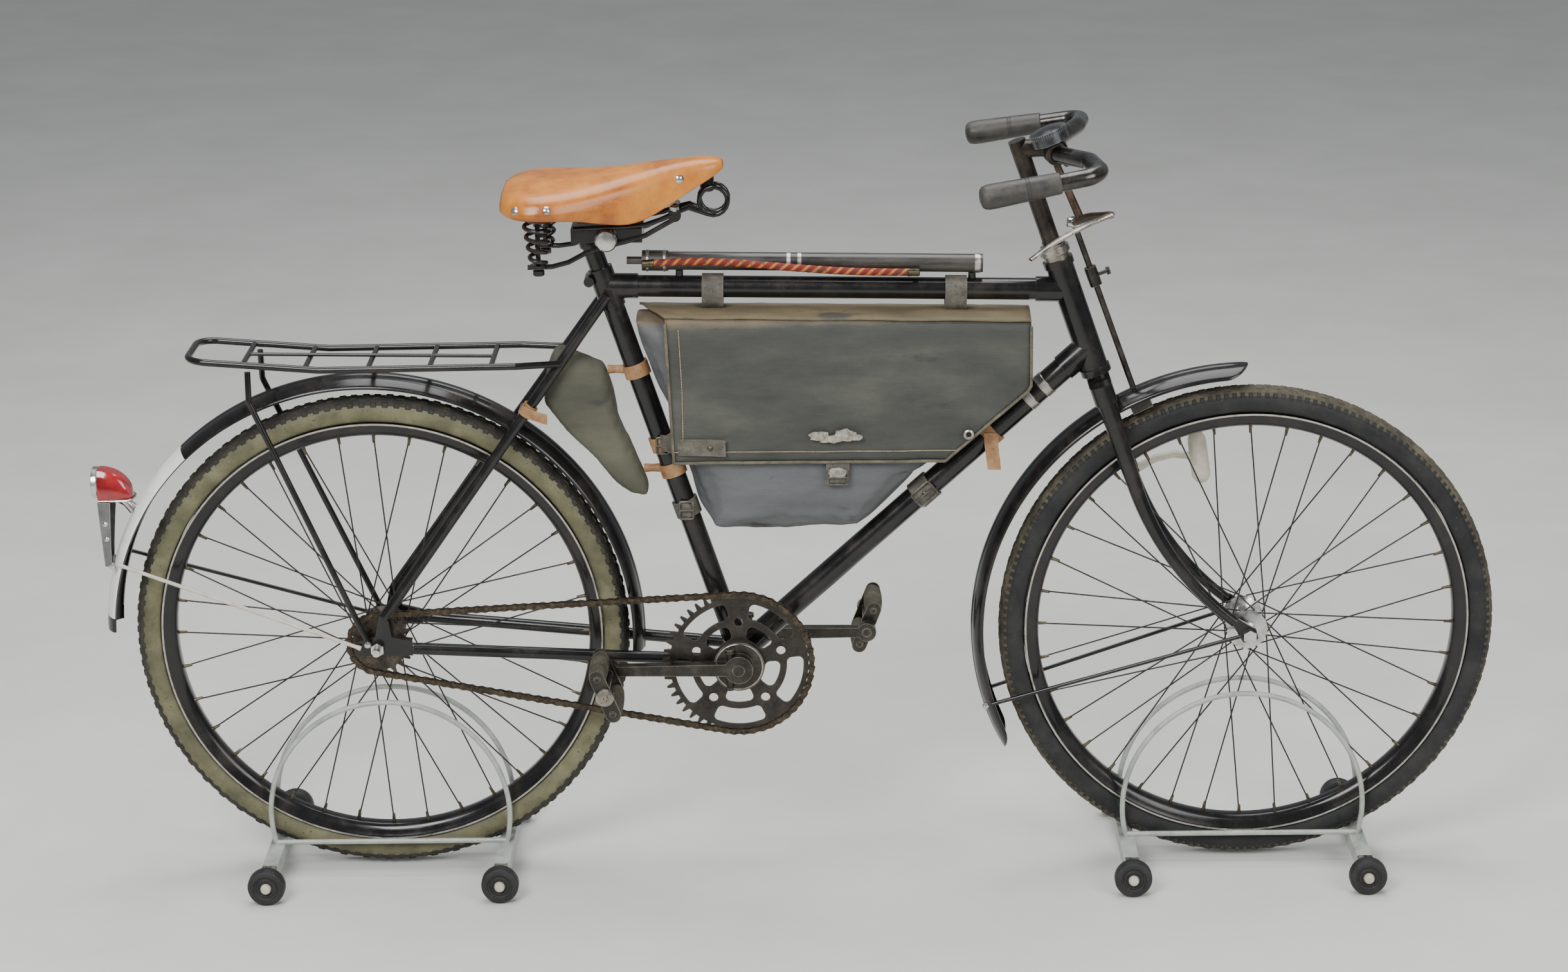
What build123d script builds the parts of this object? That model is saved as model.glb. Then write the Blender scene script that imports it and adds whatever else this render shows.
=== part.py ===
"""Military bicycle on two rolling stands, in millimetres. +X is forward, +Y is the left side, +Z is up.

The origin is on the floor, at the middle of the length and of the width. Places on the frame are given from
the rear axle, places on the handlebar from the stem's clamp and places on the saddle from the post's head.
"""

import os
from math import asin, atan2, cos, degrees, pi, radians, sin, sqrt, tan

from build123d import *

# Clearances: between faces that rest on each other, at shafts, at rod ends and under the tyres
FACE_GAP = 0.3
RUNNING_GAP = 0.05
END_GAP = 0.8
SEAT_GAP = 0.4

# Wheels
WHEELBASE = 1156.0
TYRE_RADIUS = 330.0
TYRE_HALF_WIDTH = 20.0
RIM_RADIUS = 296.5
RIM_DEPTH = 19.5
RIM_HALF_WIDTH = 17.5
RIM_LIP = 3.0
RIM_BEAD = 4.0
RIM_WELL = 6.0
AXLE_RADIUS = 5.0
HUB_REACH = 44.0
HUB_FLANGE_RADIUS = 27.0
HUB_FLANGE_Y = 28.0
HUB_FLANGE_HALF = 1.2
HUB_BARREL_RADIUS = 15.0
HUB_NECK_RADIUS = 11.0
HUB_NECK = 4.0
HUB_SHOULDER = 6.0
SPOKE_RADIUS = 1.0
SPOKE_COUNT = 36
SPOKE_LEAD = 60.0
NUT_THICKNESS = 9.0
NUT_RADIUS = 9.5
REAR_AXLE_REACH = 88.0
FRONT_AXLE_REACH = 62.0

# Stands
STAND_HALF_LENGTH = 156.0
STAND_HALF_WIDTH = 122.0
STAND_TUBE = 20.0
STAND_TUBE_BASE = 20.0
STAND_HOOP_HEIGHT = 205.0
STAND_HOOP_Y = 30.0
STAND_ROD_RADIUS = 3.5
STAND_WELD = 2.0
CASTER_RADIUS = 25.0
CASTER_WIDTH = 20.0
CASTER_GAP = 4.0
CASTER_PIN_RADIUS = 4.0
CASTER_PIN_PROUD = 3.0

# Frame
SEAT_ANGLE = 72.0
HEAD_ANGLE = 71.0
BOTTOM_BRACKET_DROP = 33.0
HEAD_X = 938.0
HEAD_Z = 392.0
SEAT_LUG_HEIGHT = 475.0
TOP_TUBE_HEAD_HEIGHT = 463.0
DOWN_TUBE_HEAD_HEIGHT = 385.0
HEAD_TUBE_LOW = 350.0
HEAD_TUBE_HIGH = 504.0
MAIN_TUBE_RADIUS = 14.3
DOWN_TUBE_RADIUS = 15.9
HEAD_TUBE_RADIUS = 18.0
STEERER_RADIUS = 12.7
LUG_WALL = 2.2
LUG_REACH = 42.0
LUG_COLLAR = 9.0
SEAT_LUG_BELOW = 29.0
SEAT_LUG_ABOVE = 25.0
SEAT_LUG_EAR_RADIUS = 6.6
POST_RADIUS = 12.7
POST_DEPTH = 33.0
POST_RISE = 32.5
SHELL_RADIUS = 21.0
SHELL_HALF_WIDTH = 36.0
CHAIN_STAY_RADIUS = 8.0
CHAIN_STAY_INNER_Y = 35.0
CHAIN_STAY_END_DROP = 2.0
CHAIN_STAY_BRIDGE_RADIUS = 5.6
CHAIN_STAY_BRIDGE_SETBACK = 48.0
SEAT_STAY_RADIUS = 7.0
SEAT_STAY_TOP_DROP = 8.4
SEAT_STAY_FOOT_X = 10.0
SEAT_STAY_FOOT_HEIGHT = 42.0
SEAT_STAY_BRIDGE_RADIUS = 5.6
DROPOUT_Y = 63.0
DROPOUT_THICKNESS = 6.0
DROPOUT_REACH = 46.0
DROPOUT_BACK = 30.0
DROPOUT_LOW = 11.0
DROPOUT_HIGH = 8.0
DROPOUT_NECK = 15.0

# Drive
CHAIN_PITCH = 12.7
CHAINRING_TEETH = 48
SPROCKET_TEETH = 20
CHAIN_LINKS = 110
CHAIN_LINE = 50.0
PLATE_GAP = 3.6
PLATE_THICKNESS = 1.1
PLATE_STEP = 0.05
PLATE_HEIGHT = 8.6
PLATE_POINT = 4.2
PLATE_SQUARE = 3.5
TOOTH_CLEAR_LINKS = 4.5
TOOTH_THICKNESS = 2.6
TOOTH_HEIGHT = 4.6
TOOTH_ROOT = 4.4
TOOTH_TIP_HALF = 1.2
TOOTH_FOOT_HALF = 3.8
RING_FOLDS = 5
RING_HOLE_RADIUS = 6.0
RING_HOLE_PLACE = 59.0
RING_SLOT_ROUND = 7.0
# Slots of the chainring: inner radius, outer radius, half spread in degrees
RING_SLOTS = ((35.0, 55.0, 22.0), (64.0, 86.0, 25.0))
CRANK_LENGTH = 172.0
CRANK_Y = 70.0
CRANK_THICKNESS = 14.0
CRANK_HEIGHT = 17.0
CRANK_TAPER = 2.0
CRANK_BOSS_RADIUS = 19.0
CRANK_EYE_RADIUS = 13.0
CRANK_FLANGE_RADIUS = 34.0
SPINDLE_RADIUS = 8.0
SPINDLE_PROUD = 3.0
PEDAL_AXLE_RADIUS = 6.0
PEDAL_WIDTH = 86.0
PEDAL_LENGTH = 76.0
PEDAL_BLOCK = 24.0
PEDAL_ROUND = 7.0
PEDAL_GAP = 6.0
PEDAL_PLATE = 3.0
PEDAL_PLATE_HEIGHT = 20.0
PEDAL_CAP_RADIUS = 12.5
PEDAL_CAP = 6.0
PEDAL_TILT = 68.5

# Mudguards, lamp and rack
GUARD_CLEARANCE = 31.0
GUARD_HALF_WIDTH = 29.0
GUARD_DEPTH = 12.0
GUARD_WALL = 1.6
REAR_GUARD_SHIFT = -9.0
REAR_GUARD_START = -4.0
REAR_GUARD_END = 178.0
REAR_STAY_TURN = 162.0
REAR_STAY_END = (-25.0, 2.0)
FRONT_GUARD_SHIFT = -6.0
FRONT_GUARD_START = 90.0
FRONT_GUARD_END = 209.0
FRONT_STAY_TURN = 197.0
FRONT_STAY_END = (-12.0, 0.0)
GUARD_STAY_RADIUS = 2.6
LAMP_REACH = 376.0
LAMP_HEIGHT = 214.0
LAMP_RADIUS = 20.0
LAMP_RIM = 9.0
LAMP_RIM_PROUD = 1.5
LAMP_LENGTH = 54.0
LAMP_FOOT_RADIUS = 6.0
PLATE_BACK = 368.0
PLATE_SHEET = 2.0
PLATE_TOP_WIDTH = 46.0
PLATE_LOW_WIDTH = 18.0
PLATE_TALL = 94.0
RACK_HALF_WIDTH = 54.0
RACK_REAR = -232.0
RACK_MIDDLE = -60.0
RACK_FRONT = 196.0
RACK_REAR_HEIGHT = 394.0
RACK_MIDDLE_HEIGHT = 380.0
RACK_FRONT_HEIGHT = 382.0
RACK_ROD_RADIUS = 4.5
RACK_CROSS_RADIUS = 3.6
RACK_WIRE_RADIUS = 2.4
RACK_BEND = 26.0
RACK_CROSS = (-158.0, -78.0, 4.0, 84.0, 164.0)
LEG_RADIUS = 4.0
LEG_X = -152.0
LEG_KNEE = 40.0
LEG_BEND = 16.0
LEG_FOOT_X = -12.0
LEG_FOOT_HEIGHT = 8.0

# Saddle, from the head of the seat post
SADDLE_CLAMP_LENGTH = 92.0
SADDLE_CLAMP_WIDTH = 58.0
SADDLE_CLAMP_DEPTH = 18.0
SADDLE_CLAMP_FORWARD = 22.0
SADDLE_CLAMP_NECK_RADIUS = 15.0
SADDLE_BOLT_RADIUS = 8.0
SADDLE_BOLT_PROUD = 7.0
SADDLE_RAIL_RADIUS = 3.5
SADDLE_RAIL_BEND = 9.0
SADDLE_RAIL_Y = 40.0
SADDLE_RAIL_FRONT_Y = 22.0
SADDLE_RAIL_NOSE_Y = 9.0
SPRING_X = -64.0
SPRING_Y = 60.0
SPRING_LOW = -11.0
SPRING_RISE = 55.0
SPRING_RADIUS = 16.0
SPRING_CORE_RADIUS = 9.6
SPRING_TURNS = 5
NOSE_X = 160.0
NOSE_RING_HEIGHT = 57.0
NOSE_RING_RADIUS = 19.0
NOSE_RING_WALL = 7.0
NOSE_RING_WIDTH = 26.0
NOSE_POST_RADIUS = 7.0
# Sections of the hide: forward place, half width, lower edge, shoulder and crown
HIDE = ((-107, 70, 56, 66, 82), (-63, 102, 46, 64, 88), (27, 64, 43, 70, 94), (100, 32, 70, 86, 106),
        (169, 17, 87, 97, 110))

# Pump, bag and pouch
PUMP_RADIUS = 12.0
PUMP_START = 395.0
PUMP_END = 803.0
PUMP_RISE = 34.0
PUMP_CAP = 34.0
PUMP_CAP_PROUD = 1.5
PUMP_NOZZLE = 20.0
PUMP_NOZZLE_RADIUS = 5.0
PEG_RADIUS = 5.0
PEG_INSET = 14.0
HOSE_RADIUS = 4.5
HOSE_SHARE = 0.45
# Hose beside the pump: forward place, height over the top tube's axis
HOSE_ROUTE = ((366, 34), (424, 38.5), (488, 36), (548, 31), (606, 27), (662, 25), (716, 25.5))
BAG_HALF_THICKNESS = 40.0
BAG_MARGIN = 3.0
BAG_TOP_DROP = 30.0
BAG_BACK_X = 340.0
BAG_FRONT_X = 866.0
BAG_FLOOR = 141.0
BAG_ROUND = 9.0
FLAP_THICKNESS = 5.0
FLAP_BACK = 390.0
FLAP_SLANT = 8.0
FLAP_FLOOR = 247.0
STRAP_WIDTH = 28.0
STRAP_THICKNESS = 3.0
STRAP_X = (452.0, 768.0)
SEAT_STRAP_HEIGHT = 262.0
SEAT_STRAP_WIDTH = 20.0
DOWN_STRAP_PLACE = 335.0
POUCH_STANDOFF = 36.0
POUCH_HALF_THICKNESS = 22.0
POUCH_STRAP_HEIGHTS = (362.0, 226.0)
POUCH_TAB_RADIUS = 6.0
# Outline of the pouch: distance from its front edge, height over the rear axle
POUCH = ((-60, 401), (-106, 322), (-94, 290), (-46, 206), (-30, 190), (-8, 184), (0, 200), (0, 378))

# Fork, stem and handlebar, from the stem's clamp
CROWN_HEIGHT = 334.0
CROWN_DEPTH = 26.0
CROWN_WIDTH = 30.0
CROWN_CHEEK = 2.0
RACE_RADIUS = 15.5
GUARD_BOSS_RADIUS = 7.0
BLADE_Y = 47.0
BLADE_TOP_RADIUS = 13.0
BLADE_END_RADIUS = 7.0
BLADE_BEND_HEIGHT = 204.0
BLADE_END_X = -19.0
BLADE_END_Z = 17.0
FORK_END_Y = 50.0
FORK_END_THICKNESS = 5.0
# Outline of a fork end, from the front axle
FORK_END = ((-25, 19), (-15, 23), (9, 8), (12, -4), (6, -11), (-8, -10))
HEADSET_HEIGHT = 20.0
HEADSET_RADIUS = 17.0
HEADSET_COLLAR_RADIUS = 20.0
HEADSET_COLLAR_LOW = 8.0
HEADSET_COLLAR = 8.0
STEERER_PROUD = 6.0
STEM_RISE = 128.0
STEM_REACH = 45.0
STEM_RADIUS = 11.5
CLAMP_RADIUS = 16.5
CLAMP_HALF = 20.0
BAR_RADIUS = 11.1
BAR_BEND_RADIUS = 24.0
BAR_STRAIGHT = 38.0
BAR_SWEEP = (37.0, 110.0, 6.0)
BAR_CORNER = (49.0, 178.0, 4.0)
GRIP_END = (-99.0, 195.0, -20.0)
GRIP_RADIUS = 15.0
GRIP_LENGTH = 96.0
GRIP_CAP = 6.0
BELL_Y = -36.0
BELL_TILT = 22.0
BELL_FOOT = 6.0
BELL_FOOT_RADIUS = 5.0
BELL_RADIUS = 24.0
BELL_DEPTH = 16.0
BELL_CROWN = 4.0

# Brake and dynamo
BRAKE_TURN = 114.4
BRAKE_LEAN = 0.362
BRAKE_ROD_RADIUS = 4.0
BRAKE_ROD_DROP = 97.0
BRAKE_ROD_PROUD = 6.0
BRAKE_KNOB_PLACE = 148.0
BRAKE_KNOB_LENGTH = 26.0
BRAKE_KNOB_RADIUS = 8.0
SHOE_GAP = 6.0
SHOE_DEPTH = 14.0
SHOE_WIDTH = 46.0
SHOE_LENGTH = 28.0
LEVER_RADIUS = 5.0
LEVER_BEND_RADIUS = 16.0
LEVER_ELBOW = (40.0, -72.0, -74.0)
LEVER_BEND = (62.0, -140.0, -56.0)
LEVER_TIP = (-42.0, -195.0, -99.0)
LEVER_BLADE_ROOT = (12.0, 7.0)
LEVER_BLADE_TIP = (8.0, 4.0)
LEVER_HANGER_Y = -36.0
DYNAMO_RADIUS = 12.5
DYNAMO_LOW = (1099.0, 48.0, 190.0)
DYNAMO_HIGH = (1090.0, 48.0, 250.0)
DYNAMO_NECK = 16.0
DYNAMO_NECK_RADIUS = 8.0
DYNAMO_TIP = 8.0
DYNAMO_ARM_RADIUS = 5.0
DYNAMO_ARM_PLACE = 26.0

# Worked out from the sizes above
STAND_TUBE_TOP = STAND_TUBE_BASE + STAND_TUBE
TYRE_DIP = sqrt(TYRE_RADIUS**2 - (STAND_HALF_LENGTH - STAND_TUBE / 2) ** 2)
AXLE_Z = STAND_TUBE_TOP + SEAT_GAP + TYRE_DIP
REAR_X = -(WHEELBASE + TYRE_RADIUS - LAMP_REACH) / 2
FRONT_X = REAR_X + WHEELBASE
REAR_GUARD_X = REAR_X + REAR_GUARD_SHIFT
FRONT_GUARD_X = FRONT_X + FRONT_GUARD_SHIFT
GUARD_RADIUS = TYRE_RADIUS + GUARD_CLEARANCE
RING_PITCH_RADIUS = CHAIN_PITCH / (2 * sin(pi / CHAINRING_TEETH))
SPROCKET_PITCH_RADIUS = CHAIN_PITCH / (2 * sin(pi / SPROCKET_TEETH))
AXLE_DIR = Vector(0, 1, 0)
UP = Vector(0, 0, 1)
SIDES = (-1, 1)
WHEELS = (("rear", REAR_X), ("front", FRONT_X))


def chain_links_for(distance):
    """Number of links round both toothed wheels when their centres are this far apart."""
    lean = asin((RING_PITCH_RADIUS - SPROCKET_PITCH_RADIUS) / distance)
    wraps = CHAINRING_TEETH * (pi + 2 * lean) + SPROCKET_TEETH * (pi - 2 * lean)
    return wraps / (2 * pi) + 2 * distance * cos(lean) / CHAIN_PITCH


def centre_distance():
    """Distance of the two toothed wheels at which the chain closes with its own number of links."""
    near = RING_PITCH_RADIUS
    far = CHAIN_PITCH * CHAIN_LINKS / 2
    for _ in range(60):
        middle = (near + far) / 2
        if chain_links_for(middle) < CHAIN_LINKS:
            near = middle
        else:
            far = middle
    return near


CENTRE_DISTANCE = centre_distance()
BRACKET_X = sqrt(CENTRE_DISTANCE**2 - BOTTOM_BRACKET_DROP**2)


def at(x, y, z):
    """Point given from the rear axle: forward, left and up."""
    return Vector(REAR_X + x, y, AXLE_Z + z)


def on_side(point, side):
    """The point given for the left, on the side asked for."""
    return Vector(point.X, side * point.Y, point.Z)


def bar(start, end, radius):
    """Round bar from one point to another, added to the part in hand."""
    run = Vector(end) - Vector(start)
    with Locations(Plane(origin=start, z_dir=run).location):
        Cylinder(radius, run.length, align=(Align.CENTER, Align.CENTER, Align.MIN))


def bore(start, direction, radius, length):
    """Round hole from a point along a direction, cut from the part in hand."""
    with Locations(Plane(origin=start, z_dir=direction).location):
        Cylinder(radius, length, align=(Align.CENTER, Align.CENTER, Align.MIN), mode=Mode.SUBTRACT)


def ring(centre, direction, outer, inner, width):
    """Flat ring across a direction, added to the part in hand."""
    with BuildSketch(Plane(origin=centre, z_dir=direction), mode=Mode.PRIVATE) as face:
        Circle(outer)
        Circle(inner, mode=Mode.SUBTRACT)
    extrude(face.sketch, amount=width / 2, both=True)


def bent_rod(points, radius, bend):
    """Round rod along straight runs with rounded corners, added to the part in hand."""
    with BuildLine(mode=Mode.PRIVATE) as route:
        FilletPolyline(*points, radius=bend)
    with BuildSketch(Plane(origin=route.line @ 0, z_dir=route.line % 0), mode=Mode.PRIVATE) as face:
        Circle(radius)
    sweep(face.sketch, path=route.line)


def wheel_plane(x, turn):
    """Plane through a wheel's axis: its x is the radius at this turn, its y is the axle."""
    out = Vector(cos(radians(turn)), 0, sin(radians(turn)))
    return Plane(origin=(x, 0, AXLE_Z), x_dir=out, z_dir=out.cross(AXLE_DIR))


def on_wheel(x, radius, turn, y=0.0):
    """Point at a radius and turn about a wheel's or a mudguard's middle."""
    return Vector(x + radius * cos(radians(turn)), y, AXLE_Z + radius * sin(radians(turn)))


def turn_of(point, x):
    """Turn of a point about a wheel's or a mudguard's middle."""
    return degrees(atan2(point.Z - AXLE_Z, point.X - x))


def side_plane(y):
    """Upright plane along the bicycle, measured from the rear axle and seen from the right."""
    return Plane(origin=at(0, y, 0), x_dir=(1, 0, 0), z_dir=(0, -1, 0))


def finish(piece, name):
    """Names a finished piece and writes it."""
    piece.part.label = name
    export_step(piece.part, f"parts/{name}.step")


os.makedirs("parts", exist_ok=True)

# Frame points, all in the middle plane
bracket = at(BRACKET_X, 0, -BOTTOM_BRACKET_DROP)
seat_dir = Vector(-cos(radians(SEAT_ANGLE)), 0, sin(radians(SEAT_ANGLE)))
head_dir = Vector(-cos(radians(HEAD_ANGLE)), 0, sin(radians(HEAD_ANGLE)))


def on_seat_tube(height):
    """Point of the seat tube's axis at a height above the rear axle."""
    return bracket + seat_dir * ((height + BOTTOM_BRACKET_DROP) / seat_dir.Z)


def on_head(height):
    """Point of the steering axis at a height above the axles."""
    return at(HEAD_X, 0, HEAD_Z) + head_dir * ((height - HEAD_Z) / head_dir.Z)


seat_point = on_seat_tube(SEAT_LUG_HEIGHT)
top_point = on_head(TOP_TUBE_HEAD_HEIGHT)
down_point = on_head(DOWN_TUBE_HEAD_HEIGHT)
top_dir = (top_point - seat_point).normalized()
down_dir = (down_point - bracket).normalized()
lug_radius = MAIN_TUBE_RADIUS + LUG_WALL
down_lug_radius = DOWN_TUBE_RADIUS + LUG_WALL
head_low = on_head(HEAD_TUBE_LOW)
head_high = on_head(HEAD_TUBE_HIGH)

# Head tube with its two lugs, a collar at each end and a bore for the steerer
with BuildPart() as head_tube:
    bar(head_low, head_high, HEAD_TUBE_RADIUS)
    bar(top_point, top_point - top_dir * LUG_REACH, lug_radius)
    bar(down_point, down_point - down_dir * LUG_REACH, down_lug_radius)
    bar(head_low, head_low + head_dir * LUG_COLLAR, HEAD_TUBE_RADIUS + LUG_WALL)
    bar(head_high, head_high - head_dir * LUG_COLLAR, HEAD_TUBE_RADIUS + LUG_WALL)
    bore(head_low - head_dir * LUG_COLLAR, head_dir, STEERER_RADIUS + RUNNING_GAP,
         (head_high - head_low).length + 2 * LUG_COLLAR)
finish(head_tube, "head_tube")

# Top tube and down tube run from mouth to mouth of their lugs
with BuildPart() as top_tube:
    bar(seat_point + top_dir * LUG_REACH, top_point - top_dir * LUG_REACH, MAIN_TUBE_RADIUS)
finish(top_tube, "top_tube")

with BuildPart() as down_tube:
    bar(bracket + down_dir * LUG_REACH, down_point - down_dir * LUG_REACH, DOWN_TUBE_RADIUS)
finish(down_tube, "down_tube")

# Seat lug: the seat tube's socket, the top tube's mouth, the pinch bolt's ears and the post's bore
seat_lug_low = seat_point - seat_dir * SEAT_LUG_BELOW
seat_lug_high = seat_point + seat_dir * SEAT_LUG_ABOVE
with BuildPart() as seat_lug:
    bar(seat_lug_low, seat_lug_high, lug_radius)
    bar(seat_point, seat_point + top_dir * LUG_REACH, lug_radius)
    ear = seat_lug_high - seat_dir * lug_radius - top_dir * (lug_radius + LUG_WALL)
    bar(ear - AXLE_DIR * lug_radius, ear + AXLE_DIR * lug_radius, SEAT_LUG_EAR_RADIUS)
    bore(seat_lug_high, -seat_dir, POST_RADIUS + RUNNING_GAP, POST_DEPTH + END_GAP)
finish(seat_lug, "seat_lug")

with BuildPart() as seat_tube:
    bar(bracket + seat_dir * LUG_REACH, seat_lug_low, MAIN_TUBE_RADIUS)
finish(seat_tube, "seat_tube")

# Bottom bracket shell with its two sockets and a bore for the spindle
with BuildPart() as bottom_bracket:
    shell_end = AXLE_DIR * SHELL_HALF_WIDTH
    bar(bracket - shell_end, bracket + shell_end, SHELL_RADIUS)
    bar(bracket, bracket + seat_dir * LUG_REACH, lug_radius)
    bar(bracket, bracket + down_dir * LUG_REACH, down_lug_radius)
    bore(bracket - shell_end, AXLE_DIR, SPINDLE_RADIUS + RUNNING_GAP, 2 * SHELL_HALF_WIDTH)
finish(bottom_bracket, "bottom_bracket")

# Chain stays from the shell's sides to the front edges of the dropouts
with BuildPart() as chain_stays:
    for side in SIDES:
        stay_root = Vector(bracket.X - SHELL_RADIUS - FACE_GAP, side * CHAIN_STAY_INNER_Y, bracket.Z)
        stay_tip = at(DROPOUT_REACH + END_GAP, side * DROPOUT_Y, -CHAIN_STAY_END_DROP)
        bar(stay_root, stay_tip, CHAIN_STAY_RADIUS)
    bridge = Vector(bracket.X - CHAIN_STAY_BRIDGE_SETBACK, CHAIN_STAY_INNER_Y, bracket.Z)
    bar(on_side(bridge, -1), bridge, CHAIN_STAY_BRIDGE_RADIUS)
finish(chain_stays, "chain_stays")

# Seat stays from the seat lug's sides to the dropouts' tabs, with a bridge that rests on the mudguard
stay_top = seat_point - seat_dir * SEAT_STAY_TOP_DROP
stay_high = Vector(stay_top.X, lug_radius + SEAT_STAY_RADIUS + FACE_GAP, stay_top.Z)
stay_low = at(SEAT_STAY_FOOT_X, DROPOUT_Y, SEAT_STAY_FOOT_HEIGHT)
stay_run = stay_low - stay_high


def stay_at_reach(reach):
    """Point of the left seat stay at this distance, seen from the side, from the rear mudguard's middle."""
    from_x = stay_high.X - REAR_GUARD_X
    from_z = stay_high.Z - AXLE_Z
    square = stay_run.X**2 + stay_run.Z**2
    half = from_x * stay_run.X + from_z * stay_run.Z
    spare = from_x**2 + from_z**2 - reach**2
    return stay_high + stay_run * ((-half - sqrt(half**2 - square * spare)) / square)


with BuildPart() as seat_stays:
    for side in SIDES:
        bar(on_side(stay_high, side), on_side(stay_low, side), SEAT_STAY_RADIUS)
    stay_bridge = stay_at_reach(GUARD_RADIUS + SEAT_STAY_BRIDGE_RADIUS + FACE_GAP)
    bar(on_side(stay_bridge, -1), stay_bridge, SEAT_STAY_BRIDGE_RADIUS)
finish(seat_stays, "seat_stays")

# Dropouts: flat plates between the stays' ends, bored for the axle
axle_bore = AXLE_RADIUS + RUNNING_GAP
stay_lift = Vector(-stay_run.X, 0, -stay_run.Z).normalized()
tab_seat = Vector(SEAT_STAY_FOOT_X, 0, SEAT_STAY_FOOT_HEIGHT) - stay_lift * END_GAP
tab_across = Vector(stay_lift.Z, 0, -stay_lift.X) * SEAT_STAY_RADIUS
tab_front = tab_seat + tab_across
tab_back = tab_seat - tab_across
with BuildPart() as dropouts:
    for side in SIDES:
        with BuildSketch(side_plane(side * DROPOUT_Y)):
            Polygon((DROPOUT_REACH, -DROPOUT_LOW), (DROPOUT_REACH, DROPOUT_HIGH),
                    (tab_front.X + SEAT_STAY_RADIUS / 2, DROPOUT_NECK), (tab_front.X, tab_front.Z),
                    (tab_back.X, tab_back.Z), (tab_back.X - SEAT_STAY_RADIUS, DROPOUT_NECK),
                    (-DROPOUT_BACK, DROPOUT_HIGH), (-DROPOUT_BACK, -DROPOUT_LOW), align=None)
            Circle(axle_bore, mode=Mode.SUBTRACT)
        extrude(amount=DROPOUT_THICKNESS / 2, both=True)
finish(dropouts, "dropouts")

# Axles, each with a six-sided nut outside the plates that hold it
dropout_face = DROPOUT_Y + DROPOUT_THICKNESS / 2
fork_end_face = FORK_END_Y + FORK_END_THICKNESS / 2
AXLES = (("rear_axle", REAR_X, REAR_AXLE_REACH, dropout_face),
         ("front_axle", FRONT_X, FRONT_AXLE_REACH, fork_end_face))
for axle_name, wheel_x, reach, face_y in AXLES:
    with BuildPart() as axle:
        bar((wheel_x, -reach, AXLE_Z), (wheel_x, reach, AXLE_Z), AXLE_RADIUS)
        for side in SIDES:
            with BuildSketch(Plane(origin=(wheel_x, side * face_y, AXLE_Z), z_dir=(0, side, 0))):
                RegularPolygon(NUT_RADIUS, 6)
            extrude(amount=NUT_THICKNESS)
    finish(axle, axle_name)

# Wheels: hub, rim and tyre turned about the axle, and crossed spokes
rim_inner = RIM_RADIUS - RIM_DEPTH
tyre_seat = RIM_RADIUS + FACE_GAP
# Left halves of the turned outlines: radius, distance from the wheel's middle plane
HUB_SIDE = ((HUB_BARREL_RADIUS, HUB_FLANGE_Y - HUB_SHOULDER),
            (HUB_FLANGE_RADIUS, HUB_FLANGE_Y - HUB_FLANGE_HALF),
            (HUB_FLANGE_RADIUS, HUB_FLANGE_Y + HUB_FLANGE_HALF), (HUB_NECK_RADIUS, HUB_FLANGE_Y + HUB_NECK),
            (HUB_NECK_RADIUS, HUB_REACH), (axle_bore, HUB_REACH))
RIM_SIDE = ((rim_inner, RIM_WELL), (rim_inner + RIM_WELL, RIM_HALF_WIDTH - RIM_BEAD),
            (RIM_RADIUS - RIM_BEAD, RIM_HALF_WIDTH), (RIM_RADIUS, RIM_HALF_WIDTH - RIM_LIP))
# Tyre: share of the height over its seat, share of the half width
TYRE_SHARES = ((0.0, 0.76), (0.42, 1.0), (1.0, 0.46))
TYRE_SIDE = tuple((tyre_seat + high * (TYRE_RADIUS - tyre_seat), wide * TYRE_HALF_WIDTH)
                  for high, wide in TYRE_SHARES)
# Spokes cross three times: side, lead at the hub, place beside the flange, place on the rim
SPOKE_SET = ((-1, 1, 2.5, 4.5), (-1, -1, -2.5, 1.5), (1, 1, 2.5, 4.5), (1, -1, -2.5, 1.5))
spoke_step = 360.0 / SPOKE_COUNT
for wheel_name, wheel_x in WHEELS:
    for piece_name, outline in (("hub", HUB_SIDE), ("rim", RIM_SIDE), ("tyre", TYRE_SIDE)):
        with BuildPart() as turned:
            with BuildSketch(wheel_plane(wheel_x, 0)):
                Polygon(*[(radius, -y) for radius, y in outline], *reversed(outline), align=None)
            revolve(axis=Axis((wheel_x, 0, AXLE_Z), (0, 1, 0)))
        finish(turned, f"{wheel_name}_{piece_name}")

    with BuildPart() as spokes:
        for number, (side, lead, flange_shift, rim_y) in enumerate(SPOKE_SET):
            for turn in range(SPOKE_COUNT // len(SPOKE_SET)):
                rim_turn = spoke_step * (number + turn * len(SPOKE_SET))
                inner = on_wheel(wheel_x, HUB_FLANGE_RADIUS + SEAT_GAP, rim_turn + lead * SPOKE_LEAD,
                                 side * (HUB_FLANGE_Y + flange_shift))
                bar(inner, on_wheel(wheel_x, rim_inner - FACE_GAP, rim_turn, side * rim_y), SPOKE_RADIUS)
    finish(spokes, f"{wheel_name}_spokes")

# Chain: a fixed loop of plates at pitch steps round both toothed wheels
chain_lean = asin((RING_PITCH_RADIUS - SPROCKET_PITCH_RADIUS) / CENTRE_DISTANCE)
chain_tilt = atan2(-BOTTOM_BRACKET_DROP, BRACKET_X)
run_links = CENTRE_DISTANCE * cos(chain_lean) / CHAIN_PITCH
ring_links = CHAINRING_TEETH * (pi + 2 * chain_lean) / (2 * pi)
sprocket_links = SPROCKET_TEETH * (pi - 2 * chain_lean) / (2 * pi)
top_angle = pi / 2 + chain_tilt + chain_lean
low_angle = -pi / 2 + chain_tilt - chain_lean


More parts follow.
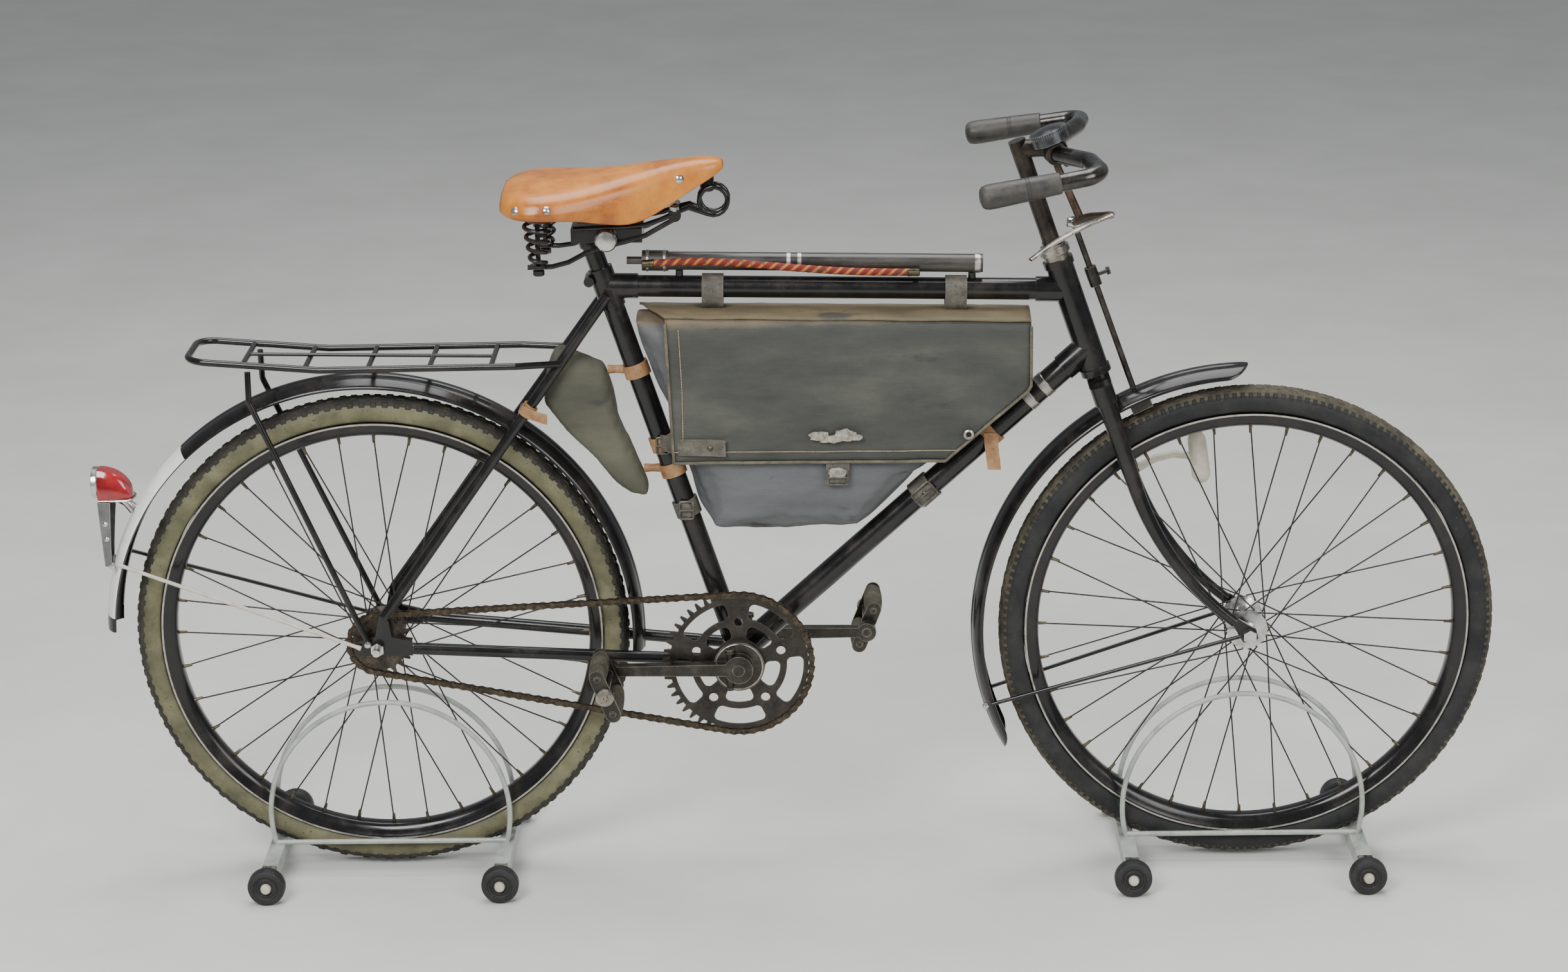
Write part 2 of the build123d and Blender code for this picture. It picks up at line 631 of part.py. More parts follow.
def round_ring(angle):
    """Point of the chainring's pitch circle, from the rear axle."""
    return (BRACKET_X + RING_PITCH_RADIUS * cos(angle), RING_PITCH_RADIUS * sin(angle) - BOTTOM_BRACKET_DROP)


def round_sprocket(angle):
    """Point of the sprocket's pitch circle, from the rear axle."""
    return (SPROCKET_PITCH_RADIUS * cos(angle), SPROCKET_PITCH_RADIUS * sin(angle))


def along_run(start, angle, links):
    """Point of a straight run of the chain, so many links from its start."""
    return (start[0] + links * CHAIN_PITCH * cos(angle), start[1] + links * CHAIN_PITCH * sin(angle))


def chain_pin(step):
    """Pin of the chain, counted in links from where the top run meets the chainring."""
    step = step % CHAIN_LINKS
    if step < ring_links:
        return round_ring(top_angle - step * 2 * pi / CHAINRING_TEETH)
    step -= ring_links
    if step < run_links:
        return along_run(round_ring(low_angle), chain_tilt + pi - chain_lean, step)
    step -= run_links
    if step < sprocket_links:
        return round_sprocket(low_angle - step * 2 * pi / SPROCKET_TEETH)
    step -= sprocket_links
    return along_run(round_sprocket(top_angle), chain_tilt + chain_lean, step)


def on_free_run(number):
    """Whether a link is far enough from both toothed wheels to have no tooth between its plates."""
    lower = number - ring_links
    upper = number - ring_links - run_links - sprocket_links
    return any(TOOTH_CLEAR_LINKS < place < run_links - TOOTH_CLEAR_LINKS for place in (lower, upper))


def link_faces(numbers, corners):
    """The same plate on each link of these numbers, in the sketch in hand."""
    for number in numbers:
        start = chain_pin(number)
        end = chain_pin(number + 1)
        slope = degrees(atan2(end[1] - start[1], end[0] - start[0]))
        with Locations(Location(((start[0] + end[0]) / 2, (start[1] + end[1]) / 2), slope)):
            Polygon(*corners)


half_pitch = CHAIN_PITCH / 2
half_plate = PLATE_HEIGHT / 2
half_square = half_pitch + PLATE_SQUARE
POINTED_PLATE = ((half_pitch + PLATE_POINT, 0), (half_pitch, half_plate), (-half_pitch, half_plate),
                 (-half_pitch - PLATE_POINT, 0), (-half_pitch, -half_plate), (half_pitch, -half_plate))
SQUARE_PLATE = ((half_square, half_plate), (-half_square, half_plate), (-half_square, -half_plate),
                (half_square, -half_plate))
inner_links = range(0, CHAIN_LINKS, 2)
outer_links = range(1, CHAIN_LINKS, 2)
toothed_links = [number for number in inner_links if not on_free_run(number)]
free_links = [number for number in inner_links if on_free_run(number)]
inner_y = (PLATE_GAP + PLATE_THICKNESS) / 2
outer_y = inner_y + PLATE_THICKNESS + PLATE_STEP
# Plates: links, corners, distance from the chain's middle, thickness
PLATES = ((outer_links, POINTED_PLATE, -outer_y, PLATE_THICKNESS),
          (outer_links, SQUARE_PLATE, outer_y, PLATE_THICKNESS),
          (toothed_links, SQUARE_PLATE, -inner_y, PLATE_THICKNESS),
          (toothed_links, SQUARE_PLATE, inner_y, PLATE_THICKNESS),
          (free_links, SQUARE_PLATE, 0.0, PLATE_GAP + 2 * PLATE_THICKNESS))
with BuildPart() as chain:
    for numbers, corners, distance, thickness in PLATES:
        with BuildSketch(side_plane(distance - CHAIN_LINE)):
            link_faces(numbers, corners)
        extrude(amount=thickness / 2, both=True)
finish(chain, "chain")


def tooth_faces(pitch_radius, teeth):
    """Tapered teeth round a pitch circle, in the sketch in hand."""
    foot = pitch_radius - TOOTH_ROOT - PLATE_THICKNESS
    tip = pitch_radius + TOOTH_HEIGHT
    with PolarLocations(0, teeth, start_angle=180.0 / teeth):
        Polygon((foot, -TOOTH_FOOT_HALF), (tip, -TOOTH_TIP_HALF), (tip, TOOTH_TIP_HALF),
                (foot, TOOTH_FOOT_HALF), align=None)


# Rear sprocket, free to turn on the axle beside the hub, with teeth between the chain's plates
with BuildPart() as rear_sprocket:
    with BuildSketch(side_plane(-CHAIN_LINE)):
        Circle(SPROCKET_PITCH_RADIUS - TOOTH_ROOT)
        tooth_faces(SPROCKET_PITCH_RADIUS, SPROCKET_TEETH)
        Circle(axle_bore, mode=Mode.SUBTRACT)
    extrude(amount=TOOTH_THICKNESS / 2, both=True)
finish(rear_sprocket, "rear_sprocket")

# Chainring: two rows of round-cornered slots and a row of holes inside a toothed rim
ring_plane = Plane(origin=bracket - AXLE_DIR * CHAIN_LINE, x_dir=(1, 0, 0), z_dir=(0, -1, 0))
with BuildPart() as chainring:
    slots = []
    for slot_low, slot_high, spread in RING_SLOTS:
        with BuildSketch(Plane.XY, mode=Mode.PRIVATE) as slot:
            with BuildLine():
                low_arc = CenterArc((0, 0), slot_low, -spread, 2 * spread)
                high_arc = CenterArc((0, 0), slot_high, -spread, 2 * spread)
                Line(low_arc @ 0, high_arc @ 0)
                Line(low_arc @ 1, high_arc @ 1)
            make_face()
            fillet(slot.vertices(), RING_SLOT_ROUND)
        slots.append(slot.sketch)
    with BuildSketch(ring_plane):
        Circle(RING_PITCH_RADIUS - TOOTH_ROOT)
        tooth_faces(RING_PITCH_RADIUS, CHAINRING_TEETH)
        Circle(SPINDLE_RADIUS + RUNNING_GAP, mode=Mode.SUBTRACT)
        with PolarLocations(RING_HOLE_PLACE, RING_FOLDS, start_angle=90):
            Circle(RING_HOLE_RADIUS, mode=Mode.SUBTRACT)
        with PolarLocations(0, RING_FOLDS, start_angle=-90):
            add(slots, mode=Mode.SUBTRACT)
    extrude(amount=TOOTH_THICKNESS / 2, both=True)
finish(chainring, "chainring")

# Spindle through the shell, cranks on its ends
crank_outer = CRANK_Y + CRANK_THICKNESS / 2
crank_inner = CRANK_Y - CRANK_THICKNESS / 2
with BuildPart() as crank_axle:
    spindle_end = AXLE_DIR * (crank_outer + SPINDLE_PROUD)
    bar(bracket - spindle_end, bracket + spindle_end, SPINDLE_RADIUS)
finish(crank_axle, "crank_axle")

pedal_points = [bracket + Vector(side * CRANK_LENGTH, side * CRANK_Y, 0) for side in SIDES]
half_boss = CRANK_HEIGHT / 2
half_eye = half_boss - CRANK_TAPER
with BuildPart() as cranks:
    for side in SIDES:
        boss = bracket + AXLE_DIR * side * CRANK_Y
        with BuildSketch(Plane(origin=boss, x_dir=(side, 0, 0), z_dir=(0, -side, 0))):
            Polygon((0, -half_boss), (CRANK_LENGTH, -half_eye), (CRANK_LENGTH, half_eye), (0, half_boss),
                    align=None)
            Circle(CRANK_BOSS_RADIUS)
            Circle(SPINDLE_RADIUS + RUNNING_GAP, mode=Mode.SUBTRACT)
            with Locations((CRANK_LENGTH, 0)):
                Circle(CRANK_EYE_RADIUS)
                Circle(PEDAL_AXLE_RADIUS + RUNNING_GAP, mode=Mode.SUBTRACT)
        extrude(amount=CRANK_THICKNESS / 2, both=True)
    flange_inner = CHAIN_LINE + TOOTH_THICKNESS / 2 + FACE_GAP
    ring(bracket - AXLE_DIR * (flange_inner + crank_inner) / 2, AXLE_DIR, CRANK_FLANGE_RADIUS,
         SPINDLE_RADIUS + RUNNING_GAP, crank_inner - flange_inner)
finish(cranks, "cranks")

# Pedals: a spindle through the crank's eye, two rubber blocks between end plates and a dust cap
pedal_inner = crank_outer + PEDAL_GAP


def pedal_plane(eye, side, y):
    """Plane across a pedal's spindle, its x from block to block."""
    block_dir = Vector(side * cos(radians(PEDAL_TILT)), 0, sin(radians(PEDAL_TILT)))
    return Plane(origin=(eye.X, side * y, eye.Z), x_dir=block_dir, z_dir=(0, side, 0))


for side, eye, pedal_name in zip(SIDES, pedal_points, ("pedal_right", "pedal_left")):
    with BuildPart() as pedal:
        bar((eye.X, side * crank_inner, eye.Z), (eye.X, side * (pedal_inner + PEDAL_WIDTH), eye.Z),
            PEDAL_AXLE_RADIUS)
        for plate_y in (pedal_inner, pedal_inner + PEDAL_WIDTH - PEDAL_PLATE):
            with BuildSketch(pedal_plane(eye, side, plate_y)):
                SlotOverall(PEDAL_LENGTH, PEDAL_PLATE_HEIGHT)
            extrude(amount=PEDAL_PLATE)
        with BuildSketch(pedal_plane(eye, side, pedal_inner + PEDAL_PLATE)):
            with GridLocations(PEDAL_LENGTH - PEDAL_BLOCK, 0, 2, 1):
                RectangleRounded(PEDAL_BLOCK, PEDAL_BLOCK, PEDAL_ROUND)
        extrude(amount=PEDAL_WIDTH - 2 * PEDAL_PLATE)
        with BuildSketch(pedal_plane(eye, side, pedal_inner + PEDAL_WIDTH)):
            Circle(PEDAL_CAP_RADIUS)
        extrude(amount=PEDAL_CAP)
    finish(pedal, pedal_name)

# Mudguards: an arched strip turned about the wheel, with a hole for the brake rod in the front one
guard_edge = GUARD_RADIUS - GUARD_DEPTH
inner_half = GUARD_HALF_WIDTH - GUARD_WALL
brake_foot = on_wheel(FRONT_GUARD_X, GUARD_RADIUS, BRAKE_TURN)
brake_dir = Vector(-BRAKE_LEAN, 0, 1).normalized()
GUARDS = (("rear_mudguard", REAR_GUARD_X, REAR_GUARD_START, REAR_GUARD_END),
          ("front_mudguard", FRONT_GUARD_X, FRONT_GUARD_START, FRONT_GUARD_END))
for guard_name, guard_x, first_turn, last_turn in GUARDS:
    with BuildPart() as mudguard:
        with BuildSketch(wheel_plane(guard_x, first_turn)):
            with BuildLine():
                outer_arc = ThreePointArc((guard_edge, -GUARD_HALF_WIDTH), (GUARD_RADIUS, 0),
                                          (guard_edge, GUARD_HALF_WIDTH))
                inner_arc = ThreePointArc((guard_edge, -inner_half), (GUARD_RADIUS - GUARD_WALL, 0),
                                          (guard_edge, inner_half))
                Line(outer_arc @ 0, inner_arc @ 0)
                Line(outer_arc @ 1, inner_arc @ 1)
            make_face()
        revolve(axis=Axis((guard_x, 0, AXLE_Z), (0, -1, 0)), revolution_arc=last_turn - first_turn)
        if guard_name == "front_mudguard":
            bore(brake_foot - brake_dir * GUARD_DEPTH, brake_dir, BRAKE_ROD_RADIUS + 2 * FACE_GAP,
                 3 * GUARD_DEPTH)
    finish(mudguard, guard_name)

# Mudguard stays: a pair of wires from the guard's edges to the plates beside the axle
STAYS = (("rear_mudguard_stays", REAR_GUARD_X, REAR_STAY_TURN, REAR_X, REAR_STAY_END, dropout_face),
         ("front_mudguard_stays", FRONT_GUARD_X, FRONT_STAY_TURN, FRONT_X, FRONT_STAY_END, fork_end_face))
for stays_name, guard_x, turn, wheel_x, (end_x, end_z), face_y in STAYS:
    edge_y = GUARD_HALF_WIDTH + GUARD_STAY_RADIUS + FACE_GAP
    end_y = face_y + GUARD_STAY_RADIUS + END_GAP
    with BuildPart() as guard_stays:
        for side in SIDES:
            bar(on_wheel(guard_x, guard_edge, turn, side * edge_y),
                Vector(wheel_x + end_x, side * end_y, AXLE_Z + end_z), GUARD_STAY_RADIUS)
    finish(guard_stays, stays_name)

# Rear lamp: a round rim facing back, a hood like a quarter of an egg and a foot on the mudguard
lamp_back = at(-LAMP_REACH, 0, LAMP_HEIGHT)
hood_length = LAMP_LENGTH - LAMP_RIM
hood_foot = lamp_back + Vector(LAMP_RIM, 0, -LAMP_RADIUS)
with BuildPart() as rear_lamp:
    with BuildSketch(Plane(origin=lamp_back + Vector(LAMP_RIM, 0, 0), x_dir=(0, 1, 0), z_dir=(1, 0, 0))):
        Circle(LAMP_RADIUS)
        with Locations((0, -LAMP_RADIUS / 2)):
            Rectangle(2 * LAMP_RADIUS, LAMP_RADIUS)
    extrude(amount=hood_length)
    with BuildSketch(Plane(origin=hood_foot, x_dir=(1, 0, 0), z_dir=(0, -1, 0))):
        with BuildLine():
            hood_middle = (hood_length * cos(pi / 4), 2 * LAMP_RADIUS * sin(pi / 4))
            hood = ThreePointArc((0, 2 * LAMP_RADIUS), hood_middle, (hood_length, 0))
            Polyline(hood @ 1, (0, 0), hood @ 0)
        make_face()
    extrude(amount=2 * LAMP_RADIUS, both=True, mode=Mode.INTERSECT)
    bar(lamp_back, lamp_back + Vector(LAMP_RIM, 0, 0), LAMP_RADIUS + LAMP_RIM_PROUD)
    lamp_root = lamp_back + Vector(LAMP_LENGTH / 2, 0, LAMP_FOOT_RADIUS - LAMP_RADIUS)
    bar(lamp_root, on_wheel(REAR_GUARD_X, GUARD_RADIUS + FACE_GAP, turn_of(lamp_root, REAR_GUARD_X)),
        LAMP_FOOT_RADIUS)
finish(rear_lamp, "rear_lamp")

# Blank tapered plate below the lamp's rim, on a foot
plate_top = LAMP_HEIGHT - LAMP_RADIUS - LAMP_RIM_PROUD - FACE_GAP
plate_low = plate_top - PLATE_TALL
with BuildPart() as number_plate:
    with BuildSketch(Plane(origin=at(-PLATE_BACK, 0, 0), x_dir=(0, 1, 0), z_dir=(1, 0, 0))):
        Polygon((-PLATE_TOP_WIDTH / 2, plate_top), (PLATE_TOP_WIDTH / 2, plate_top),
                (PLATE_LOW_WIDTH / 2, plate_low), (-PLATE_LOW_WIDTH / 2, plate_low), align=None)
    extrude(amount=PLATE_SHEET)
    plate_root = at(-PLATE_BACK, 0, plate_low + LAMP_FOOT_RADIUS)
    bar(plate_root, on_wheel(REAR_GUARD_X, GUARD_RADIUS + FACE_GAP, turn_of(plate_root, REAR_GUARD_X)),
        LAMP_FOOT_RADIUS)
finish(number_plate, "number_plate")


def rack_height(x):
    """Height of the rack's rail above the rear axle."""
    end, end_height = (RACK_REAR, RACK_REAR_HEIGHT) if x < RACK_MIDDLE else (RACK_FRONT, RACK_FRONT_HEIGHT)
    return RACK_MIDDLE_HEIGHT + (x - RACK_MIDDLE) / (end - RACK_MIDDLE) * (end_height - RACK_MIDDLE_HEIGHT)


def on_rack(x, y):
    """Point of the rack's platform."""
    return at(x, y, rack_height(x))


# Rack: a bent rail with cross bars and a middle wire, its front ends beside the seat stays
rack_front = on_rack(RACK_FRONT, RACK_HALF_WIDTH)
stay_clip = stay_high + stay_run * ((rack_front.Z - stay_high.Z) / stay_run.Z)
rack_tip = stay_clip + AXLE_DIR * (SEAT_STAY_RADIUS + RACK_ROD_RADIUS + FACE_GAP)
with BuildPart() as rack:
    rail = [on_rack(x, RACK_HALF_WIDTH) for x in (RACK_FRONT, RACK_MIDDLE, RACK_REAR)]
    bent_rod(rail + [on_side(point, -1) for point in reversed(rail)], RACK_ROD_RADIUS, RACK_BEND)
    for x in RACK_CROSS:
        bar(on_rack(x, -RACK_HALF_WIDTH), on_rack(x, RACK_HALF_WIDTH), RACK_CROSS_RADIUS)
    bar(on_rack(RACK_CROSS[0], 0), on_rack(RACK_CROSS[-1], 0), RACK_WIRE_RADIUS)
    for side in SIDES:
        bar(on_side(rack_front, side), on_side(rack_tip, side), RACK_ROD_RADIUS)
        with Locations(on_side(rack_front, side)):
            Sphere(RACK_ROD_RADIUS)
finish(rack, "rack")

# Rack legs: from under the rail down to the outsides of the dropouts
leg_head = on_rack(LEG_X, RACK_HALF_WIDTH) - UP * (RACK_ROD_RADIUS + LEG_RADIUS + FACE_GAP)
leg_knee = leg_head + Vector(0, LEG_RADIUS, -LEG_KNEE)
leg_foot = at(LEG_FOOT_X, dropout_face + LEG_RADIUS + FACE_GAP, LEG_FOOT_HEIGHT)
with BuildPart() as rack_legs:
    for side in SIDES:
        bent_rod([on_side(point, side) for point in (leg_head, leg_knee, leg_foot)], LEG_RADIUS, LEG_BEND)
finish(rack_legs, "rack_legs")

# Seat post with the saddle's clamp on top
post_head = seat_lug_high + seat_dir * POST_RISE
with BuildPart() as seat_post:
    bar(seat_lug_high - seat_dir * POST_DEPTH, post_head, POST_RADIUS)
finish(seat_post, "seat_post")


def on_post(x, y, z):
    """Point given from the head of the seat post."""
    return post_head + Vector(x, y, z)


clamp_middle = on_post(SADDLE_CLAMP_FORWARD, 0, SADDLE_CLAMP_DEPTH)
with BuildPart() as saddle_clamp:
    bar(post_head, post_head + seat_dir * SADDLE_CLAMP_DEPTH, SADDLE_CLAMP_NECK_RADIUS)
    with Locations(clamp_middle):
        Box(SADDLE_CLAMP_LENGTH, SADDLE_CLAMP_WIDTH, SADDLE_CLAMP_DEPTH)
    bolt_end = AXLE_DIR * (SADDLE_CLAMP_WIDTH / 2 + SADDLE_BOLT_PROUD)
    bar(clamp_middle - bolt_end, clamp_middle + bolt_end, SADDLE_BOLT_RADIUS)
finish(saddle_clamp, "saddle_clamp")

# Saddle frame: two wire rails from the springs' feet over the clamp to a ring spring under the nose
rail_height = SADDLE_CLAMP_DEPTH * 3 / 2 + SADDLE_RAIL_RADIUS + FACE_GAP
spring_foot = SPRING_LOW - SADDLE_RAIL_RADIUS - FACE_GAP
rail_front = SADDLE_CLAMP_FORWARD + SADDLE_CLAMP_LENGTH / 2
RAIL = ((SPRING_X - SADDLE_RAIL_BEND, SPRING_Y, spring_foot),
        (SPRING_X + SPRING_RADIUS, SPRING_Y - SADDLE_RAIL_BEND, spring_foot),
        (SPRING_X + 2 * SPRING_RADIUS + SADDLE_RAIL_BEND, SADDLE_RAIL_Y, rail_height),
        (rail_front + SADDLE_RAIL_BEND, SADDLE_RAIL_FRONT_Y, rail_height + END_GAP),
        (NOSE_X - NOSE_RING_RADIUS / 2, SADDLE_RAIL_NOSE_Y, NOSE_RING_HEIGHT + NOSE_RING_RADIUS / 3))
nose_back = HIDE[-2]
nose_front = HIDE[-1]
nose_slope = (nose_front[2] - nose_back[2]) / (nose_front[0] - nose_back[0])
nose_under = nose_back[2] + nose_slope * (NOSE_X - NOSE_POST_RADIUS - nose_back[0])
with BuildPart() as saddle_frame:
    for side in SIDES:
        bent_rod([on_side(on_post(*point), side) for point in RAIL], SADDLE_RAIL_RADIUS, SADDLE_RAIL_BEND)
    ring(on_post(NOSE_X, 0, NOSE_RING_HEIGHT), AXLE_DIR, NOSE_RING_RADIUS, NOSE_RING_RADIUS - NOSE_RING_WALL,
         NOSE_RING_WIDTH)
    bar(on_post(NOSE_X, 0, NOSE_RING_HEIGHT + NOSE_RING_RADIUS - NOSE_RING_WALL / 2),
        on_post(NOSE_X, 0, nose_under - FACE_GAP), NOSE_POST_RADIUS)
finish(saddle_frame, "saddle_frame")

# Two upright springs under the back of the saddle: a core with a ridge for each turn of the coil
spring_pitch = SPRING_RISE / SPRING_TURNS
with BuildPart() as saddle_springs:
    for side in SIDES:
        spring_base = on_post(SPRING_X, side * SPRING_Y, SPRING_LOW)
        bar(spring_base, spring_base + UP * SPRING_RISE, SPRING_CORE_RADIUS)
        for turn in range(SPRING_TURNS):
            ring(spring_base + UP * (turn + 0.5) * spring_pitch, UP, SPRING_RADIUS,
                 SPRING_CORE_RADIUS - END_GAP, spring_pitch / 2)
finish(saddle_springs, "saddle_springs")

# Saddle hide, domed from edge to edge, through its sections
with BuildPart() as saddle_leather:
    for x, half, low_z, shoulder, crown in HIDE:
        with BuildSketch(Plane(origin=on_post(x, 0, 0), x_dir=(0, 1, 0), z_dir=(1, 0, 0))):
            with BuildLine():
                dome = ThreePointArc((half, shoulder), (0, crown), (-half, shoulder))
                Polyline(dome @ 1, (-half, low_z), (half, low_z), dome @ 0)
            make_face()
    loft(ruled=True)
finish(saddle_leather, "saddle_leather")


def over_top_tube(x, rise, y=0.0):
    """Point above the top tube's axis at a forward place."""
    share = (at(x, 0, 0).X - seat_point.X) / top_dir.X
    return seat_point + top_dir * share + Vector(0, y, rise)


# Pump along the top tube, on two pegs, with its hose at its side
pump_foot = over_top_tube(PUMP_START, PUMP_RISE)
cap_radius = PUMP_RADIUS + PUMP_CAP_PROUD
with BuildPart() as pump:
    bar(pump_foot, over_top_tube(PUMP_END, PUMP_RISE), PUMP_RADIUS)
    bar(over_top_tube(PUMP_START - PUMP_CAP, PUMP_RISE), pump_foot, cap_radius)
    bar(over_top_tube(PUMP_START - PUMP_CAP - PUMP_NOZZLE, PUMP_RISE), pump_foot, PUMP_NOZZLE_RADIUS)
finish(pump, "pump")

with BuildPart() as pump_pegs:
    for x in (PUMP_START + PEG_INSET, PUMP_END - PEG_INSET):
        bar(over_top_tube(x, MAIN_TUBE_RADIUS + FACE_GAP),
            over_top_tube(x, PUMP_RISE - PUMP_RADIUS - FACE_GAP), PEG_RADIUS)
finish(pump_pegs, "pump_pegs")

hose_y = -(cap_radius + HOSE_RADIUS + FACE_GAP)
hose_points = [over_top_tube(x, rise, hose_y) for x, rise in HOSE_ROUTE]
hose_radii = []
for before, corner, after in zip(hose_points, hose_points[1:], hose_points[2:]):
    turn = (corner - before).get_angle(after - corner)
    shorter = min((corner - before).length, (after - corner).length)
    hose_radii.append(HOSE_SHARE * shorter / tan(radians(turn / 2)))
with BuildPart() as pump_hose:
    with BuildLine(mode=Mode.PRIVATE) as hose_line:
        FilletPolyline(*hose_points, radius=hose_radii)
    with BuildSketch(Plane(origin=hose_line.line @ 0, z_dir=hose_line.line % 0)):
        Circle(HOSE_RADIUS)
    sweep(path=hose_line.line)
finish(pump_hose, "pump_hose")

# Frame bag: fills the main triangle inside the tubes
seat_clear = (lug_radius + BAG_MARGIN) / sin(radians(SEAT_ANGLE))
down_tilt = atan2(down_dir.Z, down_dir.X)
down_clear = (down_lug_radius + BAG_MARGIN) / cos(down_tilt)


def bag_top(x):
    """Height of the bag's top edge, below the top tube."""
    return over_top_tube(x, -BAG_TOP_DROP).Z - AXLE_Z


def bag_low(x):
    """Height of the bag's sloping edge, above the down tube."""
    return (x - BRACKET_X) * tan(down_tilt) + down_clear - BOTTOM_BRACKET_DROP


def bag_slope(height):
    """Forward place of the bag's sloping edge at a height."""
    return (height - down_clear + BOTTOM_BRACKET_DROP) / tan(down_tilt) + BRACKET_X


def bag_back(height):
    """Forward place of the bag's edge along the seat tube."""
    return on_seat_tube(height).X - REAR_X + seat_clear


bag_top_back = bag_back(bag_top(BAG_BACK_X))
with BuildPart() as frame_bag_body:
    with BuildSketch(side_plane(0)):
        Polygon((bag_top_back, bag_top(bag_top_back)), (BAG_FRONT_X, bag_top(BAG_FRONT_X)),
                (BAG_FRONT_X, bag_low(BAG_FRONT_X)), (bag_slope(BAG_FLOOR), BAG_FLOOR),
                (bag_back(BAG_FLOOR), BAG_FLOOR), align=None)
    extrude(amount=BAG_HALF_THICKNESS, both=True)
    fillet(frame_bag_body.edges().filter_by(Axis.Y), BAG_ROUND)
finish(frame_bag_body, "frame_bag_body")

# Flap over the bag's right side, its lower edge free
with BuildPart() as frame_bag_flap:
    with BuildSketch(side_plane(-BAG_HALF_THICKNESS - FACE_GAP)):
        Polygon((FLAP_BACK, bag_top(FLAP_BACK)), (BAG_FRONT_X, bag_top(BAG_FRONT_X)),
                (BAG_FRONT_X, bag_low(BAG_FRONT_X)), (bag_slope(FLAP_FLOOR), FLAP_FLOOR),
                (FLAP_BACK + FLAP_SLANT, FLAP_FLOOR), align=None)
    extrude(amount=FLAP_THICKNESS)
finish(frame_bag_flap, "frame_bag_flap")

# Straps: loops round the top tube down to the bag, and bands round the seat tube and the down tube
strap_inside = MAIN_TUBE_RADIUS + FACE_GAP
strap_outside = strap_inside + STRAP_THICKNESS
down_strap_inside = DOWN_TUBE_RADIUS + FACE_GAP
strap_drop = BAG_TOP_DROP - FACE_GAP
with BuildPart() as bag_straps:
    for x in STRAP_X:
        with BuildSketch(Plane(origin=over_top_tube(x, 0), x_dir=(0, 1, 0), z_dir=(1, 0, 0))):
            Circle(strap_outside)
            with Locations((0, -strap_drop / 2)):
                Rectangle(2 * strap_outside, strap_drop)
            Circle(strap_inside, mode=Mode.SUBTRACT)
            with Locations((0, -strap_drop / 2 - STRAP_THICKNESS)):
                Rectangle(2 * strap_inside, strap_drop, mode=Mode.SUBTRACT)
        extrude(amount=STRAP_WIDTH / 2, both=True)
    ring(on_seat_tube(SEAT_STRAP_HEIGHT), seat_dir, strap_outside, strap_inside, SEAT_STRAP_WIDTH)
    ring(bracket + down_dir * DOWN_STRAP_PLACE, down_dir, down_strap_inside + STRAP_THICKNESS,
         down_strap_inside, STRAP_WIDTH)
finish(bag_straps, "bag_straps")

# Tool pouch behind the seat tube, hung on two straps
with BuildPart() as tool_pouch:
    with BuildSketch(side_plane(0)):
        Polygon(*[(on_seat_tube(height).X - REAR_X - POUCH_STANDOFF + back, height)
                  for back, height in POUCH], align=None)
    extrude(amount=POUCH_HALF_THICKNESS, both=True)
finish(tool_pouch, "tool_pouch")

tab_reach = POUCH_STANDOFF - FACE_GAP - POUCH_TAB_RADIUS / tan(radians(SEAT_ANGLE))
with BuildPart() as pouch_straps:
    for height in POUCH_STRAP_HEIGHTS:
        centre = on_seat_tube(height)
        ring(centre, seat_dir, strap_outside, strap_inside, SEAT_STRAP_WIDTH)
        bar(centre - Vector(strap_outside, 0, 0), centre - Vector(tab_reach, 0, 0), POUCH_TAB_RADIUS)
finish(pouch_straps, "pouch_straps")

